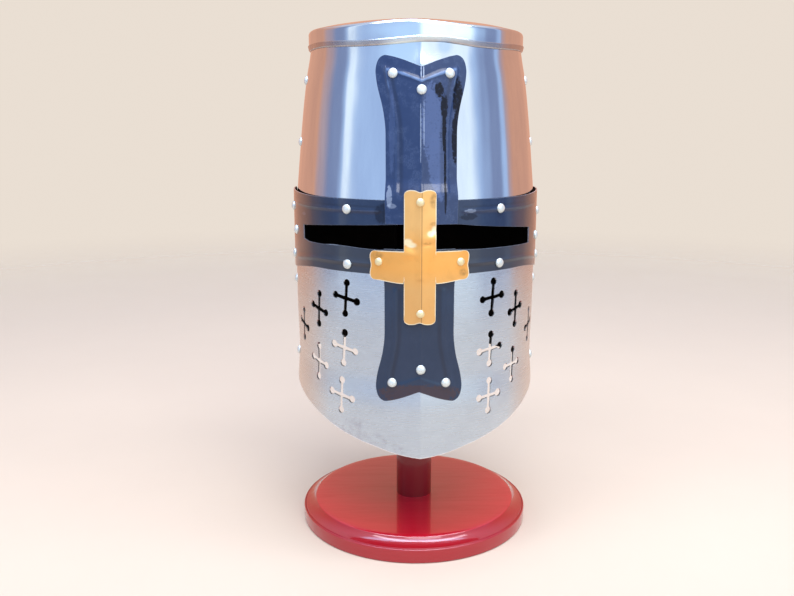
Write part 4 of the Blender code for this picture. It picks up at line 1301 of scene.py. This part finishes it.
# Dents: across, height, reach across, reach up, depth (mm)
nasalDents = (
    (-9.5, 281.0, 6.5, 3.2, -1.00),
    (-9.0, 274.0, 6.5, 3.0, 0.60),
    (9.5, 293.5, 5.0, 3.2, -0.90),
    (8.5, 286.8, 6.0, 2.6, 0.60),
    (4.5, 281.5, 4.0, 1.2, -0.35),
    (9.0, 303.0, 5.0, 4.0, 0.25),
    (10.0, 316.0, 4.0, 6.0, -0.30),
    (-38.0, 262.0, 4.0, 8.0, -0.20),
    (37.0, 262.0, 4.0, 8.0, -0.25),
    (-6.0, 240.0, 6.0, 14.0, 0.15),
    (6.0, 236.0, 6.0, 12.0, 0.12),
)


def cornerCut(share):
    # How far a rounded end falls back, at a share of its half width
    past = max(0.0, share - nasal["flatShare"]) / (1.0 - nasal["flatShare"])
    return nasal["corner"] * 0.85 * (1 - sqrt(1 - past * past * 0.999))


def nasalOutline(x, z):
    # Pulls a grid point onto the cross's rounded, notched outline
    half, span, reach = nasal["halfWidth"], nasal["halfSpan"], nasal["endReach"]
    top, bottom = nasal["top"], nasal["bottom"]
    armTop, armBottom = nasal["armTop"], nasal["armTop"] - nasal["armHeight"]
    armMiddle, armHalf = (armTop + armBottom) / 2, nasal["armHeight"] / 2
    if z > armTop or z < armBottom:
        middle = (armTop + top) / 2 if z > armTop else (armBottom + bottom) / 2
        end = top if z > armTop else bottom
        near = ease((abs(z - middle) - abs(end - middle) + reach) / reach)
        lobe = nasal["notch"] * bell(x, 0.0032) + cornerCut(min(abs(x) / half, 1.0))
        z -= (1 if z > armTop else -1) * lobe * near
    elif abs(x) > half:
        near = ease((abs(x) - span + reach) / reach)
        lobe = nasal["armNotch"] * bell(z - armMiddle, 0.004) + cornerCut(abs(z - armMiddle) / armHalf)
        x -= (1 if x > 0 else -1) * lobe * near
        # The arms' lower edges fall a little toward the upright
        if z < armMiddle:
            lowShare = (armMiddle - z) / armHalf
            z -= nasal["armFall"] * lowShare * ease((span - abs(x)) / (span - half))
    return x, z


def makeNasal():
    half, span = nasal["halfWidth"], nasal["halfSpan"]
    cell = nasal["cell"]

    def marks(points):
        values = []
        for low, high in zip(points, points[1:]):
            count = ceil((high - low) / cell)
            values += [mixed(low, high, share) for share in closeEnds(count, 0.3)[:-1]]
        return values + [points[-1]]

    xs = marks((-span, -half, 0.0, half, span))
    armBottom = nasal["armTop"] - nasal["armHeight"]
    zs = marks((nasal["bottom"], armBottom, nasal["armTop"], nasal["top"]))
    grid = []
    for z in zs:
        row = []
        for x in xs:
            px, pz = nasalOutline(x, z)
            row.append(((px + nasal["shift"]) / nasal["radius"], pz))
        grid.append(row)

    def keep(i, j):
        z = (zs[i] + zs[i + 1]) / 2
        x = (xs[j] + xs[j + 1]) / 2
        return abs(x) < half or armBottom < z < nasal["armTop"]

    def offset(angle, height):
        across = angle * nasal["radius"]
        fold = nasal["crease"] * max(0.0, 1.0 - abs(across) / 0.0060) ** 1.2
        groove = -0.00030 * bell(across, 0.00045)
        dents = 0.0
        for x, z, wide, tall, depth in nasalDents:
            dents += depth * bell(across * 1000 - x, wide) * bell(height * 1000 - z, tall)
        buckle = 0.00020 * noise.noise(Vector((across * 70.0, height * 60.0, 4.0)))
        return bandOffset(height) + 2 * helm["step"] + fold + groove + dents * 0.001 + buckle

    piece = sheetPiece("nasalCrossSkin", grid, offset, (finish["brass"], finish["brass"]), keep, 0.0016, 0.0)
    roundRims(piece, 0.00030)
    settle(piece, "brass_sheet", "nasal_cross")


makeNasal()
print("nasal cross done")

# Rivets: domed heads, each a little different
rivet = {
    "rings": ((0.28, 0.97), (0.52, 0.86), (0.72, 0.68), (0.87, 0.44), (0.96, 0.18), (1.00, 0.00), (0.99, -0.22)),
    "sides": 28,
    "rise": 0.0021,           # of a head with the full radius
    "fullRadius": 0.004,
    "uneven": 0.06,
    "seatPoints": 8,
}
# Brass rivets that were set a little to the left, mm
rivetNudge = {"rivet_brass_top": -1.4, "rivet_brass_bottom": -0.9}


def makeRivet(node, material, slotName, rand):
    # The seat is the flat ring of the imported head, found along the wall's own normal
    solid = {tuple(round(value, 6) for value in vertex.co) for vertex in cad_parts[node].data.vertices}
    solid = [Vector(place) for place in sorted(solid)]
    centre = sum(solid, Vector()) / len(solid)
    angle = atan2(centre.x, -centre.y / (helm["backDepth"] if centre.y > 0 else 1.0))
    upright = bandBottom - 0.011 < centre.z < bandTop + 0.004
    probe = 0.002
    along = wallPoint(angle + probe, centre.z, 0.0) - wallPoint(angle - probe, centre.z, 0.0)
    up = Vector((0, 0, 1))
    if not upright:
        up = wallPoint(angle, centre.z + probe, 0.0) - wallPoint(angle, centre.z - probe, 0.0)
    out = along.cross(up).normalized()
    base = sorted(solid, key=lambda place: place.dot(out))[:rivet["seatPoints"]]
    middle = sum(base, Vector()) / rivet["seatPoints"]
    seat = middle + Vector((0.001 * rivetNudge.get(node, 0.0), 0, 0))
    radius = max((place - middle).length for place in base)
    rise = rivet["rise"] * radius / rivet["fullRadius"]
    bm = bmesh.new()
    rings = []
    seed = rand.uniform(0.0, 50.0)
    for share, lift in rivet["rings"]:
        loop = []
        for k in range(rivet["sides"]):
            turn = 2 * pi * k / rivet["sides"]
            uneven = 1.0 + rivet["uneven"] * noise.noise(Vector((cos(turn), sin(turn), seed)))
            reach = radius * share * uneven
            loop.append(bm.verts.new((reach * cos(turn), reach * sin(turn), rise * lift)))
        rings.append(loop)
    top = bm.verts.new((0, 0, rise))
    for k in range(rivet["sides"]):
        bm.faces.new((rings[0][k], rings[0][(k + 1) % rivet["sides"]], top))
    for inner, outer in zip(rings, rings[1:]):
        for k in range(rivet["sides"]):
            after = (k + 1) % rivet["sides"]
            bm.faces.new((outer[k], outer[after], inner[after], inner[k]))
    bm.faces.new(list(reversed(rings[-1])))
    bmesh.ops.recalc_face_normals(bm, faces=bm.faces)
    turn = out.to_track_quat("Z", "Y").to_matrix().to_4x4()
    bm.transform(Matrix.Translation(seat) @ turn)
    mesh = bpy.data.meshes.new(node + "_head")
    bm.to_mesh(mesh)
    bm.free()
    mesh.shade_smooth()
    mesh.set_sharp_from_angle(angle=radians(60))
    piece = toScene(node + "_head", mesh, (material,))
    settle(piece, slotName, node)


def makeRivets():
    rand = random.Random(11)
    for node in sorted(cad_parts):
        if node.startswith("rivet_brass"):
            makeRivet(node, finish["brassRivet"], "brass_rivet", rand)
        elif node.startswith("rivet_"):
            makeRivet(node, finish["rivet"], "rivet_steel", rand)


makeRivets()
print("rivets done")

# Turned stand
stand = {
    "footRadius": 0.108,
    "thickness": 0.0197,
    "stepHeight": 0.0125,
    "edgeRadius": 0.0012,
    "coveRadius": 0.01656,
    "coveCentre": (0.10924, 0.0296),
    "postRadius": 0.017,
    "headRadius": 0.036,
    "headRound": 0.003,
    "turns": 160,
}


def latheProfile(name, points, node):
    verts, faces = [], []
    turns = stand["turns"]
    for step in range(turns):
        turn = 2 * pi * step / turns
        for radius, height in points:
            verts.append((radius * cos(turn), radius * sin(turn), height))
    count = len(points)
    for step in range(turns):
        after = (step + 1) % turns
        for k in range(count - 1):
            faces.append([step * count + k, after * count + k, after * count + k + 1, step * count + k + 1])
    faces.append([step * count for step in reversed(range(turns))])
    faces.append([step * count + count - 1 for step in range(turns)])
    mesh = bpy.data.meshes.new(name)
    mesh.from_pydata(verts, [], faces)
    closeMesh(mesh, radians(40))
    piece = toScene(name, mesh, (finish["lacquer"],))
    settle(piece, "red_lacquer", node)


def arc(centreRadius, centreHeight, radius, first, last, steps):
    turns = [radians(mixed(first, last, k / steps)) for k in range(steps + 1)]
    return [(centreRadius + radius * cos(turn), centreHeight + radius * sin(turn)) for turn in turns]


def makeStand():
    outer, thick = stand["footRadius"], stand["thickness"]
    step, edge = stand["stepHeight"], stand["edgeRadius"]
    foot = arc(outer - edge, edge, edge, -90, 0, 4)
    foot += arc(outer - edge, step - 0.0008, edge, 0, 80, 5)
    # A fine groove, then a hollow that runs up to the top's sharp edge
    foot += [(outer - 0.0016, step - 0.0001), (outer - 0.0020, step + 0.0006)]
    foot += arc(*stand["coveCentre"], stand["coveRadius"], -102, -142, 16)
    foot += [(0.0957, thick - 0.0001), (0.0953, thick), (0.0900, thick), (0.040, thick), (0.012, thick)]
    latheProfile("standFootTurned", foot, "stand_base")
    headLow, headTop = (corner[2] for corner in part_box("stand_head"))
    post = stand["postRadius"]
    column = [(post, thick + 0.0001)] + [(post, mixed(thick, headLow, k / 12)) for k in range(1, 13)]
    latheProfile("standPostTurned", column, "stand_column")
    wide, curve = stand["headRadius"], stand["headRound"]
    head = [(wide * 0.8, headLow)] + arc(wide - curve, headLow + curve, curve, -60, 0, 4)
    head += arc(wide - curve, headTop - curve, curve, 0, 88, 5) + [(0.010, headTop)]
    latheProfile("standHeadTurned", head, "stand_head")


makeStand()
print("stand done")


# Floor, light and camera
ground = {"radius": 2.5, "sides": 96, "height": -0.0002}


def makeFloor():
    bpy.ops.mesh.primitive_circle_add(vertices=ground["sides"], radius=ground["radius"], fill_type="NGON",
                                      location=(0, 0, ground["height"]))
    floor = bpy.context.object
    floor.name = "paleFloor"
    floor.data.materials.append(finish["floor"])


# The soft panels round the helm and where each begins and ends, in degrees from the front
tones = {
    "warm": (0.86, 0.44, 0.30),
    "mauve": (0.58, 0.46, 0.52),
    "dusk": (0.30, 0.38, 0.62),
    "sky": (0.55, 0.75, 1.12),
    "white": (1.15, 1.32, 1.48),
}
panels = (
    (-180, "warm"), (-116, "warm"), (-105, "mauve"), (-95, "dusk"), (-84, "dusk"), (-77, "sky"),
    (-74.5, "white"), (-69, "white"), (-65, "sky"), (-10, "sky"), (12, "white"), (60, "white"),
    (66, "sky"), (77, "dusk"), (88, "dusk"), (91, "sky"), (94, "sky"), (97, "mauve"), (106, "warm"),
    (180, "warm"),
)
# name, place, aim, width, height, watts, colour
softboxes = (
    ("frontSoftbox", (0.25, -1.3, 1.55), (0, 0, 0.25), 1.1, 0.7, 14, (1.0, 0.99, 0.98)),
    ("ceilingStrip", (0.05, -0.42, 1.42), (0, -0.08, 0.10), 2.0, 0.26, 16, (0.93, 0.90, 1.0)),
)


def makeLight():
    world = bpy.data.worlds.new("softStudio")
    bpy.context.scene.world = world
    world.use_nodes = True
    tree = Tree(world.node_tree)
    background = world.node_tree.nodes["Background"]
    direction = tree.add("ShaderNodeTexCoord").outputs["Generated"]
    split = tree.add("ShaderNodeSeparateXYZ")
    tree.join(direction, split.inputs[0])
    around = tree.sum("ARCTAN2", split.outputs["X"], tree.sum("MULTIPLY", split.outputs["Y"], -1.0))
    share = tree.remap(around, -pi, pi)
    rampNode = tree.add("ShaderNodeValToRGB")
    ramp = rampNode.color_ramp
    ramp.interpolation = "LINEAR"
    while len(ramp.elements) > 1:
        ramp.elements.remove(ramp.elements[-1])
    for k, (degrees, tone) in enumerate(panels):
        at = (degrees + 180) / 360
        element = ramp.elements[0] if k == 0 else ramp.elements.new(at)
        element.position = at
        element.color = (*tones[tone], 1)
    tree.join(share, rampNode.inputs["Fac"])
    up = tree.sum("ARCSINE", split.outputs["Z"])
    high = tree.remap(up, studio["overheadFrom"], studio["overheadFull"], smooth=True)
    room = tree.tint(high, rampNode.outputs["Color"], studio["overhead"])
    rays = tree.add("ShaderNodeLightPath").outputs
    # Only polished and lacquered surfaces see the lamp straight above
    lamp = tree.remap(up, studio["zenithFrom"], studio["zenithFull"], smooth=True)
    room = tree.over(room, lamp, rays["Is Glossy Ray"], studio["zenith"])
    tree.join(tree.tint(rays["Is Camera Ray"], room, studio["backdrop"]), background.inputs["Color"])
    for name, place, aim, wide, tall, energy, colour in softboxes:
        softbox = bpy.data.lights.new(name, "AREA")
        softbox.shape = "RECTANGLE"
        softbox.size, softbox.size_y = wide, tall
        softbox.energy = energy
        softbox.color = colour
        lamp = bpy.data.objects.new(name, softbox)
        bpy.context.scene.collection.objects.link(lamp)
        lamp.location = place
        lamp.rotation_euler = (Vector(aim) - Vector(place)).to_track_quat("-Z", "Y").to_euler()


camera = {
    "place": (-0.0375, -0.7962, 0.3788),
    "turn": radians(-1.5),
    "pitch": radians(11.63),
    "lens": 38.99,
    "sensor": 36.0,
    "near": 0.02,
}


def makeCamera():
    lens = bpy.data.cameras.new("viewer")
    lens.sensor_fit = "HORIZONTAL"
    lens.sensor_width = camera["sensor"]
    lens.lens = camera["lens"]
    lens.clip_start = camera["near"]
    viewer = bpy.data.objects.new("viewer", lens)
    bpy.context.scene.collection.objects.link(viewer)
    viewer.location = camera["place"]
    viewer.rotation_euler = (pi / 2 - camera["pitch"], 0.0, camera["turn"])
    bpy.context.scene.camera = viewer


makeFloor()
makeLight()
makeCamera()
bpy.context.scene.view_settings.view_transform = "Standard"
bpy.context.view_layer.update()
print("scene ready")
